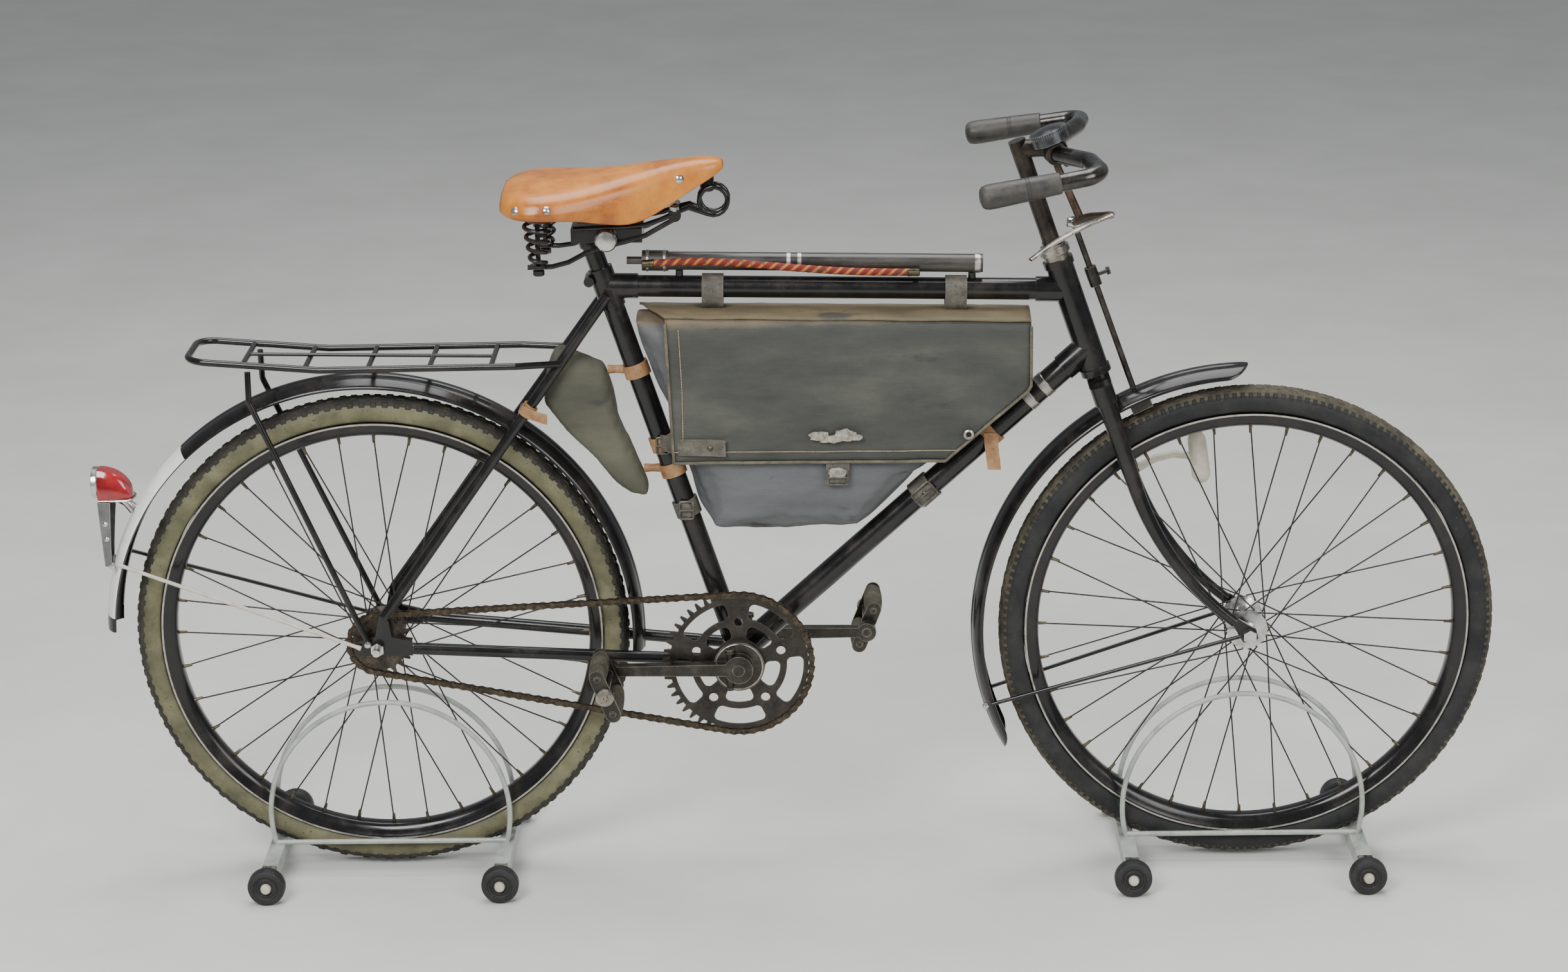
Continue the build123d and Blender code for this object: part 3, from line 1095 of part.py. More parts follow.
# Fork: steerer, crown with a boss on the mudguard, two tapered blades and their flat ends
crown_middle = on_head(CROWN_HEIGHT)
headset_base = head_high + head_dir * FACE_GAP
steerer_top = headset_base + head_dir * (HEADSET_HEIGHT + STEERER_PROUD)
blade_bend_radius = (BLADE_TOP_RADIUS + BLADE_END_RADIUS) / 2
with BuildPart() as fork:
    bar(crown_middle, steerer_top, STEERER_RADIUS)
    bar(crown_middle + head_dir * CROWN_DEPTH / 2, head_low - head_dir * FACE_GAP, RACE_RADIUS)
    bar(crown_middle, on_wheel(FRONT_GUARD_X, GUARD_RADIUS + FACE_GAP, turn_of(crown_middle, FRONT_GUARD_X)),
        GUARD_BOSS_RADIUS)
    with BuildSketch(Plane(origin=crown_middle, x_dir=(0, 1, 0), z_dir=head_dir)):
        SlotOverall(2 * (BLADE_Y + BLADE_TOP_RADIUS + CROWN_CHEEK), CROWN_WIDTH)
    extrude(amount=CROWN_DEPTH / 2, both=True)
    for side in SIDES:
        blade_top = crown_middle + AXLE_DIR * side * BLADE_Y
        blade_bend = on_head(BLADE_BEND_HEIGHT) + AXLE_DIR * side * BLADE_Y
        blade_end = Vector(FRONT_X + BLADE_END_X, side * BLADE_Y, AXLE_Z + BLADE_END_Z)
        with BuildLine(mode=Mode.PRIVATE) as blade_line:
            straight = Line(blade_top, blade_bend)
            TangentArc(blade_bend, blade_end, tangent=straight % 1)
        blade_faces = []
        for place, direction, radius in ((blade_top, straight % 0, BLADE_TOP_RADIUS),
                                         (blade_bend, straight % 0, blade_bend_radius),
                                         (blade_end, blade_line.line % 1, BLADE_END_RADIUS)):
            blade_plane = Plane(origin=place, x_dir=(0, 1, 0), z_dir=direction)
            with BuildSketch(blade_plane, mode=Mode.PRIVATE) as face:
                Circle(radius)
            blade_faces.append(face.sketch.face())
        sweep(blade_faces, path=blade_line.line, multisection=True)
        end_middle = Vector(FRONT_X, side * FORK_END_Y, AXLE_Z)
        with BuildSketch(Plane(origin=end_middle, x_dir=(1, 0, 0), z_dir=(0, -1, 0))):
            Polygon(*FORK_END, align=None)
            Circle(axle_bore, mode=Mode.SUBTRACT)
        extrude(amount=FORK_END_THICKNESS / 2, both=True)
finish(fork, "fork")

# Headset nut on the steerer
with BuildPart() as headset:
    collar_low = headset_base + head_dir * HEADSET_COLLAR_LOW
    bar(headset_base, headset_base + head_dir * HEADSET_HEIGHT, HEADSET_RADIUS)
    bar(collar_low, collar_low + head_dir * HEADSET_COLLAR, HEADSET_COLLAR_RADIUS)
    bore(headset_base, head_dir, STEERER_RADIUS + RUNNING_GAP, HEADSET_HEIGHT)
finish(headset, "headset")

# Stem: a post on the steerer, a forward reach and the bar's clamp
stem_corner = steerer_top + head_dir * STEM_RISE
bar_middle = stem_corner + Vector(STEM_REACH, 0, 0)
with BuildPart() as stem:
    bar(steerer_top + head_dir * FACE_GAP, stem_corner + head_dir * STEM_RADIUS, STEM_RADIUS)
    bar(stem_corner, bar_middle, STEM_RADIUS)
    bar(bar_middle - AXLE_DIR * CLAMP_HALF, bar_middle + AXLE_DIR * CLAMP_HALF, CLAMP_RADIUS)
    bore(bar_middle - AXLE_DIR * CLAMP_HALF, AXLE_DIR, BAR_RADIUS + RUNNING_GAP, 2 * CLAMP_HALF)
finish(stem, "stem")


def on_bar(place):
    """Point given from the middle of the stem's clamp."""
    return bar_middle + Vector(*place)


# Handlebar: out from the clamp, forward round a bend and back to the grips
bar_half = [on_bar(place) for place in (GRIP_END, BAR_CORNER, BAR_SWEEP, (0, BAR_STRAIGHT, 0))]
with BuildPart() as handlebar:
    bent_rod(bar_half + [on_side(point, -1) for point in reversed(bar_half)], BAR_RADIUS, BAR_BEND_RADIUS)
finish(handlebar, "handlebar")

# Grips: sleeves closed at the end
with BuildPart() as grips:
    for side in SIDES:
        grip_end = on_side(on_bar(GRIP_END), side)
        along = (on_side(on_bar(BAR_CORNER), side) - grip_end).normalized()
        bar(grip_end - along * (GRIP_CAP + FACE_GAP), grip_end + along * GRIP_LENGTH, GRIP_RADIUS)
        bore(grip_end - along * FACE_GAP, along, BAR_RADIUS + RUNNING_GAP, GRIP_LENGTH + GRIP_CAP)
finish(grips, "grips")

# Bell: a shallow drum with a domed lid, leaning back on a foot on the bar
bell_dir = Vector(-sin(radians(BELL_TILT)), 0, cos(radians(BELL_TILT)))
bell_across = Vector(bell_dir.Z, 0, -bell_dir.X)
bell_base = on_bar((0, BELL_Y, 0)) + bell_dir * (BAR_RADIUS + FACE_GAP)
lid_low = (BELL_CROWN**2 - BELL_RADIUS**2) / (2 * BELL_CROWN)
lid_turn = degrees(atan2(-lid_low, BELL_RADIUS))
with BuildPart() as bell:
    bar(bell_base, bell_base + bell_dir * (BELL_FOOT + BELL_DEPTH / 2), BELL_FOOT_RADIUS)
    with BuildSketch(Plane(origin=bell_base + bell_dir * BELL_FOOT, x_dir=bell_across, z_dir=(0, -1, 0))):
        with BuildLine():
            lid = CenterArc((0, BELL_DEPTH + lid_low), BELL_CROWN - lid_low, lid_turn, 90 - lid_turn)
            Polyline(lid @ 1, (0, 0), (BELL_RADIUS, 0), lid @ 0)
        make_face()
    revolve(axis=Axis(bell_base, bell_dir))
finish(bell, "bell")

# Brake lever: hung under the right side of the bar, out to a bend and back to a tapered blade
brake_top_height = bar_middle.Z - BRAKE_ROD_DROP
brake_top = brake_foot + brake_dir * ((brake_top_height - brake_foot.Z) / brake_dir.Z)
lever_root = brake_top - AXLE_DIR * (BRAKE_ROD_RADIUS + FACE_GAP)
lever_elbow = on_bar(LEVER_ELBOW)
lever_bend = on_bar(LEVER_BEND)
blade_run = on_bar(LEVER_TIP) - lever_bend
with BuildPart() as brake_lever:
    bent_rod([lever_root, lever_elbow, lever_bend], LEVER_RADIUS, LEVER_BEND_RADIUS)
    with Locations(lever_bend):
        Sphere(LEVER_RADIUS)
    for place, size in ((lever_bend, LEVER_BLADE_ROOT), (lever_bend + blade_run, LEVER_BLADE_TIP)):
        with BuildSketch(Plane(origin=place, x_dir=UP.cross(blade_run), z_dir=blade_run)):
            Rectangle(*size)
    loft()
    hanger_share = (LEVER_HANGER_Y - lever_root.Y) / (lever_elbow.Y - lever_root.Y)
    hanger = lever_root + (lever_elbow - lever_root) * hanger_share
    under_bar = on_bar((0, LEVER_HANGER_Y, 0))
    bar(hanger, under_bar - (under_bar - hanger).normalized() * (BAR_RADIUS + END_GAP), LEVER_RADIUS)
finish(brake_lever, "brake_lever")

# Brake rod in front of the head tube, with its adjusting knob and the shoe over the tyre
shoe_turn = turn_of(brake_foot, FRONT_X)
shoe_middle = on_wheel(FRONT_X, TYRE_RADIUS + SHOE_GAP + SHOE_DEPTH / 2, shoe_turn)
shoe_plane = Plane(origin=shoe_middle, x_dir=(0, 1, 0), z_dir=shoe_middle - Vector(FRONT_X, 0, AXLE_Z))
with BuildPart() as brake_rod:
    knob_low = brake_foot + brake_dir * BRAKE_KNOB_PLACE
    bar(brake_foot - brake_dir * (brake_foot - shoe_middle).length, brake_top + brake_dir * BRAKE_ROD_PROUD,
        BRAKE_ROD_RADIUS)
    bar(knob_low, knob_low + brake_dir * BRAKE_KNOB_LENGTH, BRAKE_KNOB_RADIUS)
    with Locations(shoe_plane.location):
        Box(SHOE_WIDTH, SHOE_LENGTH, SHOE_DEPTH)
finish(brake_rod, "brake_rod")

# Dynamo: a bottle with a neck and a foot, on an arm in front of the left blade
dynamo_low = at(*DYNAMO_LOW)
dynamo_high = at(*DYNAMO_HIGH)
dynamo_lift = (dynamo_high - dynamo_low).normalized()
blade_front = blade_bend_radius / sin(radians(HEAD_ANGLE)) + END_GAP
arm_root = on_head(BLADE_BEND_HEIGHT) + Vector(blade_front, BLADE_Y, 0)
with BuildPart() as dynamo:
    bar(dynamo_low, dynamo_high, DYNAMO_RADIUS)
    bar(dynamo_high, dynamo_high + dynamo_lift * DYNAMO_NECK, DYNAMO_NECK_RADIUS)
    bar(dynamo_low - dynamo_lift * DYNAMO_TIP, dynamo_low, DYNAMO_NECK_RADIUS)
    bar(arm_root, dynamo_low + dynamo_lift * DYNAMO_ARM_PLACE, DYNAMO_ARM_RADIUS)
finish(dynamo, "dynamo")

# Stands: two cross tubes with casters, two long rods and two hoops beside the tyre
rod_z = STAND_TUBE_TOP + STAND_ROD_RADIUS - STAND_WELD / 2
for wheel_name, wheel_x in WHEELS:
    tube_places = (wheel_x - STAND_HALF_LENGTH, wheel_x + STAND_HALF_LENGTH)
    with BuildPart() as stand_frame:
        for tube_x in tube_places:
            with Locations((tube_x, 0, STAND_TUBE_BASE + STAND_TUBE / 2)):
                Box(STAND_TUBE, 2 * STAND_HALF_WIDTH, STAND_TUBE)
            for side in SIDES:
                pin_start = side * (STAND_HALF_WIDTH - STAND_WELD)
                pin_end = side * (STAND_HALF_WIDTH + CASTER_GAP + CASTER_WIDTH + CASTER_PIN_PROUD)
                bar((tube_x, pin_start, CASTER_RADIUS), (tube_x, pin_end, CASTER_RADIUS), CASTER_PIN_RADIUS)
        for side in SIDES:
            hoop_y = side * STAND_HOOP_Y
            bar((tube_places[0], hoop_y, rod_z), (tube_places[1], hoop_y, rod_z), STAND_ROD_RADIUS)
            with BuildLine(mode=Mode.PRIVATE) as hoop:
                ThreePointArc((tube_places[0], hoop_y, STAND_TUBE_TOP - STAND_WELD),
                              (wheel_x, hoop_y, STAND_TUBE_TOP + STAND_HOOP_HEIGHT),
                              (tube_places[1], hoop_y, STAND_TUBE_TOP - STAND_WELD))
            with BuildSketch(Plane(origin=hoop.line @ 0, z_dir=hoop.line % 0), mode=Mode.PRIVATE) as rod_face:
                Circle(STAND_ROD_RADIUS)
            sweep(rod_face.sketch, path=hoop.line)
    finish(stand_frame, f"{wheel_name}_stand_frame")

    with BuildPart() as stand_casters:
        for tube_x in tube_places:
            for side in SIDES:
                caster_y = side * (STAND_HALF_WIDTH + CASTER_GAP + CASTER_WIDTH / 2)
                ring((tube_x, caster_y, CASTER_RADIUS), AXLE_DIR, CASTER_RADIUS,
                     CASTER_PIN_RADIUS + RUNNING_GAP, CASTER_WIDTH)
    finish(stand_casters, f"{wheel_name}_stand_casters")
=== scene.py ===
import bmesh
import bpy
from math import atan2, cos, pi, radians, sin, sqrt
from mathutils import Matrix, Vector, noise


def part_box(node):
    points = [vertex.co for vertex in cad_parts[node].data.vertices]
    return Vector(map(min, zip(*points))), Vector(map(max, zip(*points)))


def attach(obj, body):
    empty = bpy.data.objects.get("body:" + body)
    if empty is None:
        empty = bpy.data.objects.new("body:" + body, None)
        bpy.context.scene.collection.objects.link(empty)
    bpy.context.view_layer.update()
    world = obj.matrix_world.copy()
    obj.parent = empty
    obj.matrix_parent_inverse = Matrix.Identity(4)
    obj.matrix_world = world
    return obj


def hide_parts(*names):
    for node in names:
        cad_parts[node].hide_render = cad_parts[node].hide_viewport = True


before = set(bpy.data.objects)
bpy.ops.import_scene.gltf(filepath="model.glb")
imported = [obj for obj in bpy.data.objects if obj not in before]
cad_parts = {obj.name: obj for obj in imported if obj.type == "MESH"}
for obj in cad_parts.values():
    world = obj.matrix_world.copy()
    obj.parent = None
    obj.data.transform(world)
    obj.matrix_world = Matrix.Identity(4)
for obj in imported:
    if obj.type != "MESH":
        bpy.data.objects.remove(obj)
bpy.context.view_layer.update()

# Frame tubes and lugs: brazed steel tube under stove enamel, black with a brown cast where it has thinned.
# Age shows as dull patches, fine rust spots and bare edges on the lugs.
rear_low, rear_high = (Vector(corner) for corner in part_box("rear_hub"))
rear_axle = (rear_low + rear_high) / 2
wheelbase = 1156.0
COAT_ROUGHNESS = 0.12
RAMP_START = 0.34
WORN_BLUR = 0.06


def from_axle(x, y, z):
    """Point given in millimetres from the rear axle: forward, left and up."""
    return rear_axle + Vector((x, y, z)) / 1000.0


def add(nodes, kind, **values):
    """New shader node with these values set on its sockets."""
    made = nodes.new(kind)
    for socket, value in values.items():
        made.inputs[socket.replace("_", " ")].default_value = value
    return made


def blend(tree, colour, other, factor):
    """Colour socket that goes over to another colour where the factor socket is high."""
    mix = tree.nodes.new("ShaderNodeMix")
    mix.data_type = "RGBA"
    mix.inputs["B"].default_value = (*other, 1.0)
    tree.links.new(factor, mix.inputs["Factor"])
    tree.links.new(colour, mix.inputs["A"])
    return mix.outputs["Result"]


def surface(name, shades, grain, roughness, relief, metallic=0.0, coat=0.0, stretch=(1, 1, 1), worn=None,
            edge=None, fine=9.0, specular=0.5):
    """Material whose colour, roughness and relief come from noise in the piece's own coordinates."""
    material = bpy.data.materials.new(name)
    material.use_nodes = True
    tree = material.node_tree
    nodes = tree.nodes
    join = tree.links.new
    shader = nodes["Principled BSDF"]
    shader.inputs["Metallic"].default_value = metallic
    shader.inputs["Coat Weight"].default_value = coat
    shader.inputs["Coat Roughness"].default_value = COAT_ROUGHNESS
    shader.inputs["Specular IOR Level"].default_value = specular
    place = nodes.new("ShaderNodeTexCoord")
    mapping = add(nodes, "ShaderNodeMapping", Scale=stretch)
    join(place.outputs["Object"], mapping.inputs["Vector"])
    cloud = add(nodes, "ShaderNodeTexNoise", Scale=grain, Detail=8.0, Roughness=0.65)
    join(mapping.outputs["Vector"], cloud.inputs["Vector"])
    ramp = nodes.new("ShaderNodeValToRGB")
    first, last = ramp.color_ramp.elements
    first.position = RAMP_START
    first.color = (*shades[0], 1.0)
    last.position = 2 * RAMP_START
    last.color = (*shades[-1], 1.0)
    for number, shade in enumerate(shades[1:-1], 1):
        spot = RAMP_START + RAMP_START * number / (len(shades) - 1)
        ramp.color_ramp.elements.new(spot).color = (*shade, 1.0)
    join(cloud.outputs["Fac"], ramp.inputs["Fac"])
    colour = ramp.outputs["Color"]
    speck = add(nodes, "ShaderNodeTexNoise", Scale=grain * fine, Detail=4.0)
    join(mapping.outputs["Vector"], speck.inputs["Vector"])
    if worn:
        patch = add(nodes, "ShaderNodeMapRange", From_Min=worn[1], From_Max=worn[1] + WORN_BLUR)
        join(speck.outputs["Fac"], patch.inputs["Value"])
        colour = blend(tree, colour, worn[0], patch.outputs["Result"])
    # Edges go over to the edge colour, broken up by the cloud: rubbed wear on most finishes, and a painted
    # highlight along the edges of the cranks, the bell and the blank plate.
    if edge:
        bevel = add(nodes, "ShaderNodeBevel", Radius=0.0015)
        bevel.samples = 4
        facing = nodes.new("ShaderNodeNewGeometry")
        turned = nodes.new("ShaderNodeVectorMath")
        turned.operation = "DOT_PRODUCT"
        join(bevel.outputs["Normal"], turned.inputs[0])
        join(facing.outputs["Normal"], turned.inputs[1])
        rub_and_glint = add(nodes, "ShaderNodeMapRange", From_Min=0.985, From_Max=0.88)
        join(turned.outputs["Value"], rub_and_glint.inputs["Value"])
        broken_rub_and_glint = nodes.new("ShaderNodeMath")
        broken_rub_and_glint.operation = "MULTIPLY"
        join(rub_and_glint.outputs["Result"], broken_rub_and_glint.inputs[0])
        join(cloud.outputs["Fac"], broken_rub_and_glint.inputs[1])
        colour = blend(tree, colour, edge, broken_rub_and_glint.outputs["Value"])
    join(colour, shader.inputs["Base Color"])
    sheen = add(nodes, "ShaderNodeMapRange", From_Min=0.35, From_Max=0.65, To_Min=roughness[0],
                To_Max=roughness[1])
    join(cloud.outputs["Fac"], sheen.inputs["Value"])
    join(sheen.outputs["Result"], shader.inputs["Roughness"])
    bump = add(nodes, "ShaderNodeBump", Strength=relief[0], Distance=relief[1])
    join(speck.outputs["Fac"], bump.inputs["Height"])
    join(bump.outputs["Normal"], shader.inputs["Normal"])
    return material


def coat_nodes(material, *names):
    """Gives CAD pieces their finish."""
    for name in names:
        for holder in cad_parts[name].material_slots:
            holder.material = material


black_enamel = surface("black_enamel",
                       [(0.005, 0.005, 0.005), (0.009, 0.008, 0.008), (0.022, 0.018, 0.015)], 22.0,
                       (0.10, 0.32), (0.06, 0.0005), coat=0.25, worn=((0.050, 0.031, 0.020), 0.69),
                       edge=(0.055, 0.044, 0.034), fine=11.0, specular=0.32)
coat_nodes(black_enamel, "head_tube", "top_tube", "down_tube", "seat_tube", "seat_lug", "bottom_bracket",
           "chain_stays", "seat_stays", "dropouts")


def skin_faces(rows, sides):
    """Faces of a tube of rings, closed round and capped at both ends."""
    faces = []
    for row in range(rows - 1):
        base = row * sides
        for side in range(sides):
            after = (side + 1) % sides
            faces.append((base + side, base + after, base + sides + after, base + sides + side))
    faces.append(tuple(reversed(range(sides))))
    faces.append(tuple(range((rows - 1) * sides, rows * sides)))
    return faces


def rod(points, radii, sides=14, number=0):
    """Closed round rod through points, with one radius or a radius at each."""
    points = [Vector(point) for point in points]
    if not isinstance(radii, (list, tuple)):
        radii = [radii] * len(points)
    verts = []
    along = (points[1] - points[0]).normalized()
    across = along.orthogonal().normalized()
    for place, point in enumerate(points):
        before = points[max(place - 1, 0)]
        after = points[min(place + 1, len(points) - 1)]
        if (after - before).length > 0:
            along = (after - before).normalized()
        across = (across - along * across.dot(along)).normalized()
        up = along.cross(across)
        for side in range(sides):
            turn = 2 * pi * side / sides
            verts.append(point + radii[place] * (cos(turn) * across + sin(turn) * up))
    return verts, skin_faces(len(points), sides), number


def finish_mesh(mesh, smooth):
    """Turns the normals outward and shades smooth up to an angle."""
    work = bmesh.new()
    work.from_mesh(mesh)
    bmesh.ops.recalc_face_normals(work, faces=work.faces)
    work.to_mesh(mesh)
    work.free()
    mesh.shade_smooth()
    mesh.set_sharp_from_angle(angle=radians(smooth))


def placed(name, data):
    """New object in the scene."""
    made = bpy.data.objects.new(name, data)
    bpy.context.collection.objects.link(made)
    return made


def put_on(made, body, stands_for):
    """Says which body a piece rides on and the CAD nodes it stands for."""
    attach(made, body)
    if stands_for:
        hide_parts(*stands_for)


def piece(name, shapes, materials, body, stands_for=(), smooth=35.0):
    """One object of several closed shapes, with its normals outward, riding on a body."""
    verts = []
    faces = []
    numbers = []
    for shape_verts, shape_faces, number in shapes:
        base = len(verts)
        verts += [tuple(vert) for vert in shape_verts]
        faces += [tuple(base + index for index in face) for face in shape_faces]
        numbers += number if isinstance(number, list) else [number] * len(shape_faces)
    mesh = bpy.data.meshes.new(name)
    mesh.from_pydata(verts, [], faces)
    for material in materials:
        mesh.materials.append(material)
    mesh.polygons.foreach_set("material_index", numbers)
    finish_mesh(mesh, smooth)
    made = placed(name, mesh)
    put_on(made, body, stands_for)
    return made


# Down tube clips: two thin bands of bare steel pinched round the down tube under the head lug,
# where the paint has been rubbed off by the strap that once hung there.
bare_steel = surface("bare_steel", [(0.30, 0.28, 0.25), (0.46, 0.43, 0.39), (0.56, 0.53, 0.49)], 90.0,
                     (0.22, 0.5), (0.1, 0.0004), metallic=0.9, worn=((0.16, 0.10, 0.06), 0.64))
bracket_axis_x = 478.12
bracket_axis_z = -33.0
down_start = Vector((bracket_axis_x, 0.0, bracket_axis_z))
down_dir = Vector((0.7417, 0.0, 0.6707))
clip_bands = []
for place in (522.0, 548.0):
    spots = [down_start + down_dir * (place + step) for step in (-6.0, -5.0, 5.0, 6.0)]
    clip_bands.append(rod([from_axle(*spot) for spot in spots], [0.0161, 0.0169, 0.0169, 0.0161], 28))
piece("down_tube_clips", clip_bands, [bare_steel], "frame")

# Tyres: wired-on rubber tyres with a raised serrated shoulder. The rear one has a faded khaki wall,
# the front one is dark grey with a tan worn crown; each sits in its rim by its own beads.
rear_wall = surface("khaki_tyre_wall",
                    [(0.075, 0.072, 0.036), (0.125, 0.118, 0.062), (0.185, 0.172, 0.098)], 26.0,
                    (0.55, 0.8), (0.25, 0.0010), worn=((0.045, 0.042, 0.026), 0.66))
rear_tread = surface("dark_tread", [(0.022, 0.021, 0.018), (0.038, 0.035, 0.029), (0.060, 0.054, 0.043)],
                     34.0, (0.6, 0.85), (0.4, 0.0012), worn=((0.080, 0.072, 0.048), 0.66), specular=0.25)
front_wall = surface("grey_tyre_wall",
                     [(0.014, 0.015, 0.015), (0.024, 0.024, 0.024), (0.040, 0.039, 0.036)], 26.0,
                     (0.55, 0.8), (0.25, 0.0010), worn=((0.060, 0.056, 0.048), 0.68), specular=0.25)
front_crown = surface("tan_tyre_crown",
                      [(0.040, 0.036, 0.027), (0.078, 0.068, 0.048), (0.130, 0.112, 0.078)], 34.0,
                      (0.65, 0.9), (0.4, 0.0012), worn=((0.040, 0.034, 0.026), 0.60), specular=0.25)
# Half of the tyre's section: radius, distance from the wheel's middle plane
TYRE_HALF = ((297.2, 13.5), (299.0, 15.8), (303.0, 18.0), (308.0, 19.5), (313.0, 19.8), (317.5, 18.6),
             (320.5, 16.6), (323.0, 15.4), (325.8, 12.6), (328.4, 8.4), (329.6, 4.2), (330.0, 0.0))
REPEAT_SEED = 7


def ring_piece(name, outline, wheel_x, second_edges, materials, body, stands_for, segments=128):
    """Ring turned about an axle from a closed outline of radius and side place, in two finishes."""
    centre = from_axle(wheel_x, 0.0, 0.0)
    verts = []
    for step in range(segments):
        turn = 2 * pi * step / segments
        for radius, side in outline:
            verts.append(centre + Vector((radius * cos(turn), side, radius * sin(turn))) / 1000.0)
    count = len(outline)
    faces = []
    numbers = []
    for number in (0, 1):
        edges = [edge for edge in range(count) if (edge in second_edges) == bool(number)]
        for step in range(segments):
            base = step * count
            after = (step + 1) % segments * count
            for edge in edges:
                follow = (edge + 1) % count
                faces.append((base + edge, base + follow, after + follow, after + edge))
                numbers.append(number)
    return piece(name, [(verts, faces, numbers)], materials, body, stands_for, 50.0)


def settled(made):
    """Mesh of an object after its modifiers."""
    return bpy.data.meshes.new_from_object(made.evaluated_get(bpy.context.evaluated_depsgraph_get()))


def repeated(name, seats, unit_shape, material, body, stands_for=(), spread=0.04, smooth=30.0):
    """One mesh of the same small shape at many seats, each a place and a turn, made by a node group."""
    unit_mesh = bpy.data.meshes.new(name + "_unit")
    unit_mesh.from_pydata([tuple(vert) for vert in unit_shape[0]], [], unit_shape[1])
    unit = placed(name + "_unit", unit_mesh)
    points = bpy.data.meshes.new(name)
    points.from_pydata([tuple(place) for place, _ in seats], [], [])
    stored = points.attributes.new("turn", "FLOAT_VECTOR", "POINT")
    for item, (_, turn) in zip(stored.data, seats):
        item.vector = turn
    made = placed(name, points)
    tree = bpy.data.node_groups.new(name + "_repeat", "GeometryNodeTree")
    sockets = {}
    for label, kind in (("Places", "Geometry"), ("Unit", "Object"), ("Spread", "Float"), ("Seed", "Int"),
                        ("Finish", "Material")):
        sockets[label] = tree.interface.new_socket(label, in_out="INPUT", socket_type="NodeSocket" + kind)
    tree.interface.new_socket("Made", in_out="OUTPUT", socket_type="NodeSocketGeometry")
    given = tree.nodes.new("NodeGroupInput")
    handed = tree.nodes.new("NodeGroupOutput")
    shape = tree.nodes.new("GeometryNodeObjectInfo")
    heading = add(tree.nodes, "GeometryNodeInputNamedAttribute", Name="turn")
    heading.data_type = "FLOAT_VECTOR"
    least = tree.nodes.new("ShaderNodeMath")
    least.operation = "SUBTRACT"
    least.inputs[0].default_value = 1.0
    size = tree.nodes.new("FunctionNodeRandomValue")
    size.data_type = "FLOAT"
    size.inputs["Max"].default_value = 1.0
    seat = tree.nodes.new("GeometryNodeInstanceOnPoints")
    real = tree.nodes.new("GeometryNodeRealizeInstances")
    painted = tree.nodes.new("GeometryNodeSetMaterial")
    join = tree.links.new
    join(given.outputs["Unit"], shape.inputs["Object"])
    join(given.outputs["Spread"], least.inputs[1])
    join(least.outputs["Value"], size.inputs[2])
    join(given.outputs["Seed"], size.inputs["Seed"])
    join(given.outputs["Places"], seat.inputs["Points"])
    join(shape.outputs["Geometry"], seat.inputs["Instance"])
    join(heading.outputs["Attribute"], seat.inputs["Rotation"])
    join(size.outputs[1], seat.inputs["Scale"])
    join(seat.outputs["Instances"], real.inputs["Geometry"])
    join(real.outputs["Geometry"], painted.inputs["Geometry"])
    join(given.outputs["Finish"], painted.inputs["Material"])
    join(painted.outputs["Geometry"], handed.inputs["Made"])
    worker = made.modifiers.new("repeat", "NODES")
    worker.node_group = tree
    for label, value in (("Unit", unit), ("Spread", spread), ("Seed", REPEAT_SEED), ("Finish", material)):
        worker[sockets[label].identifier] = value
    mesh = settled(made)
    made.modifiers.clear()
    made.data = mesh
    mesh.name = name
    bpy.data.objects.remove(unit)
    finish_mesh(mesh, smooth)
    put_on(made, body, stands_for)
    return made


def block(length, width, height, taper=0.7):
    """Small block with its top drawn in, centred on its foot, in millimetres."""
    low = [(x * length / 2, y * width / 2, 0.0) for x, y in ((-1, -1), (1, -1), (1, 1), (-1, 1))]
    high = [(x * taper, y * taper, height) for x, y, _ in low]
    verts = [Vector(corner) / 1000.0 for corner in low + high]
    return verts, [(3, 2, 1, 0), (4, 5, 6, 7), (0, 1, 5, 4), (1, 2, 6, 5), (2, 3, 7, 6), (3, 0, 4, 7)]


tyre_outline = [(radius, -side) for radius, side in TYRE_HALF] + list(reversed(TYRE_HALF[:-1]))
tread_edges = range(6, len(tyre_outline) - 8)
rib_radius = 321.2
rib_side = 16.1
rib_lean = radians(-62.0)
# Rows of tread blocks: side place, radius of their feet
TREAD_ROWS = ((-7.5, 328.1), (-2.5, 329.2), (2.5, 329.2), (7.5, 328.1))
# Wheels: name, place, tyre finishes, rib finish, count of ribs, height of tread blocks
WHEELS = (("rear", 0.0, (rear_wall, rear_tread), rear_tread, 132, 1.8),
          ("front", wheelbase, (front_wall, front_crown), front_wall, 190, 1.1))
for wheel, wheel_x, finishes, rib_finish, rib_count, block_height in WHEELS:
    ring_piece(wheel + "_tyre_rubber", tyre_outline, wheel_x, tread_edges, finishes, wheel + "_wheel",
               [wheel + "_tyre"])
    rib_seats = []
    for side in (-1, 1):
        for step in range(rib_count):
            turn = 2 * pi * (step + 0.25 * side) / rib_count
            rib_seats.append((from_axle(wheel_x + rib_radius * cos(turn), side * rib_side,
                                        rib_radius * sin(turn)), (side * rib_lean, pi / 2 - turn, 0.0)))
    rib_length = 3.4 * rib_radius / rib_count
    repeated(wheel + "_tyre_shoulder_ribs", rib_seats, block(rib_length, 7.5, 1.5), rib_finish,
             wheel + "_wheel")
    block_seats = []
    block_count = rib_count // 2
    for row, foot in TREAD_ROWS:
        for step in range(block_count):
            turn = 2 * pi * (step + 0.1 * row) / block_count
            block_seats.append((from_axle(wheel_x + foot * cos(turn), row, foot * sin(turn)),
                                (0.0, pi / 2 - turn, 0.0)))
    repeated(wheel + "_tyre_tread_blocks", block_seats, block(11.0, 3.4, block_height), finishes[1],
             wheel + "_wheel")
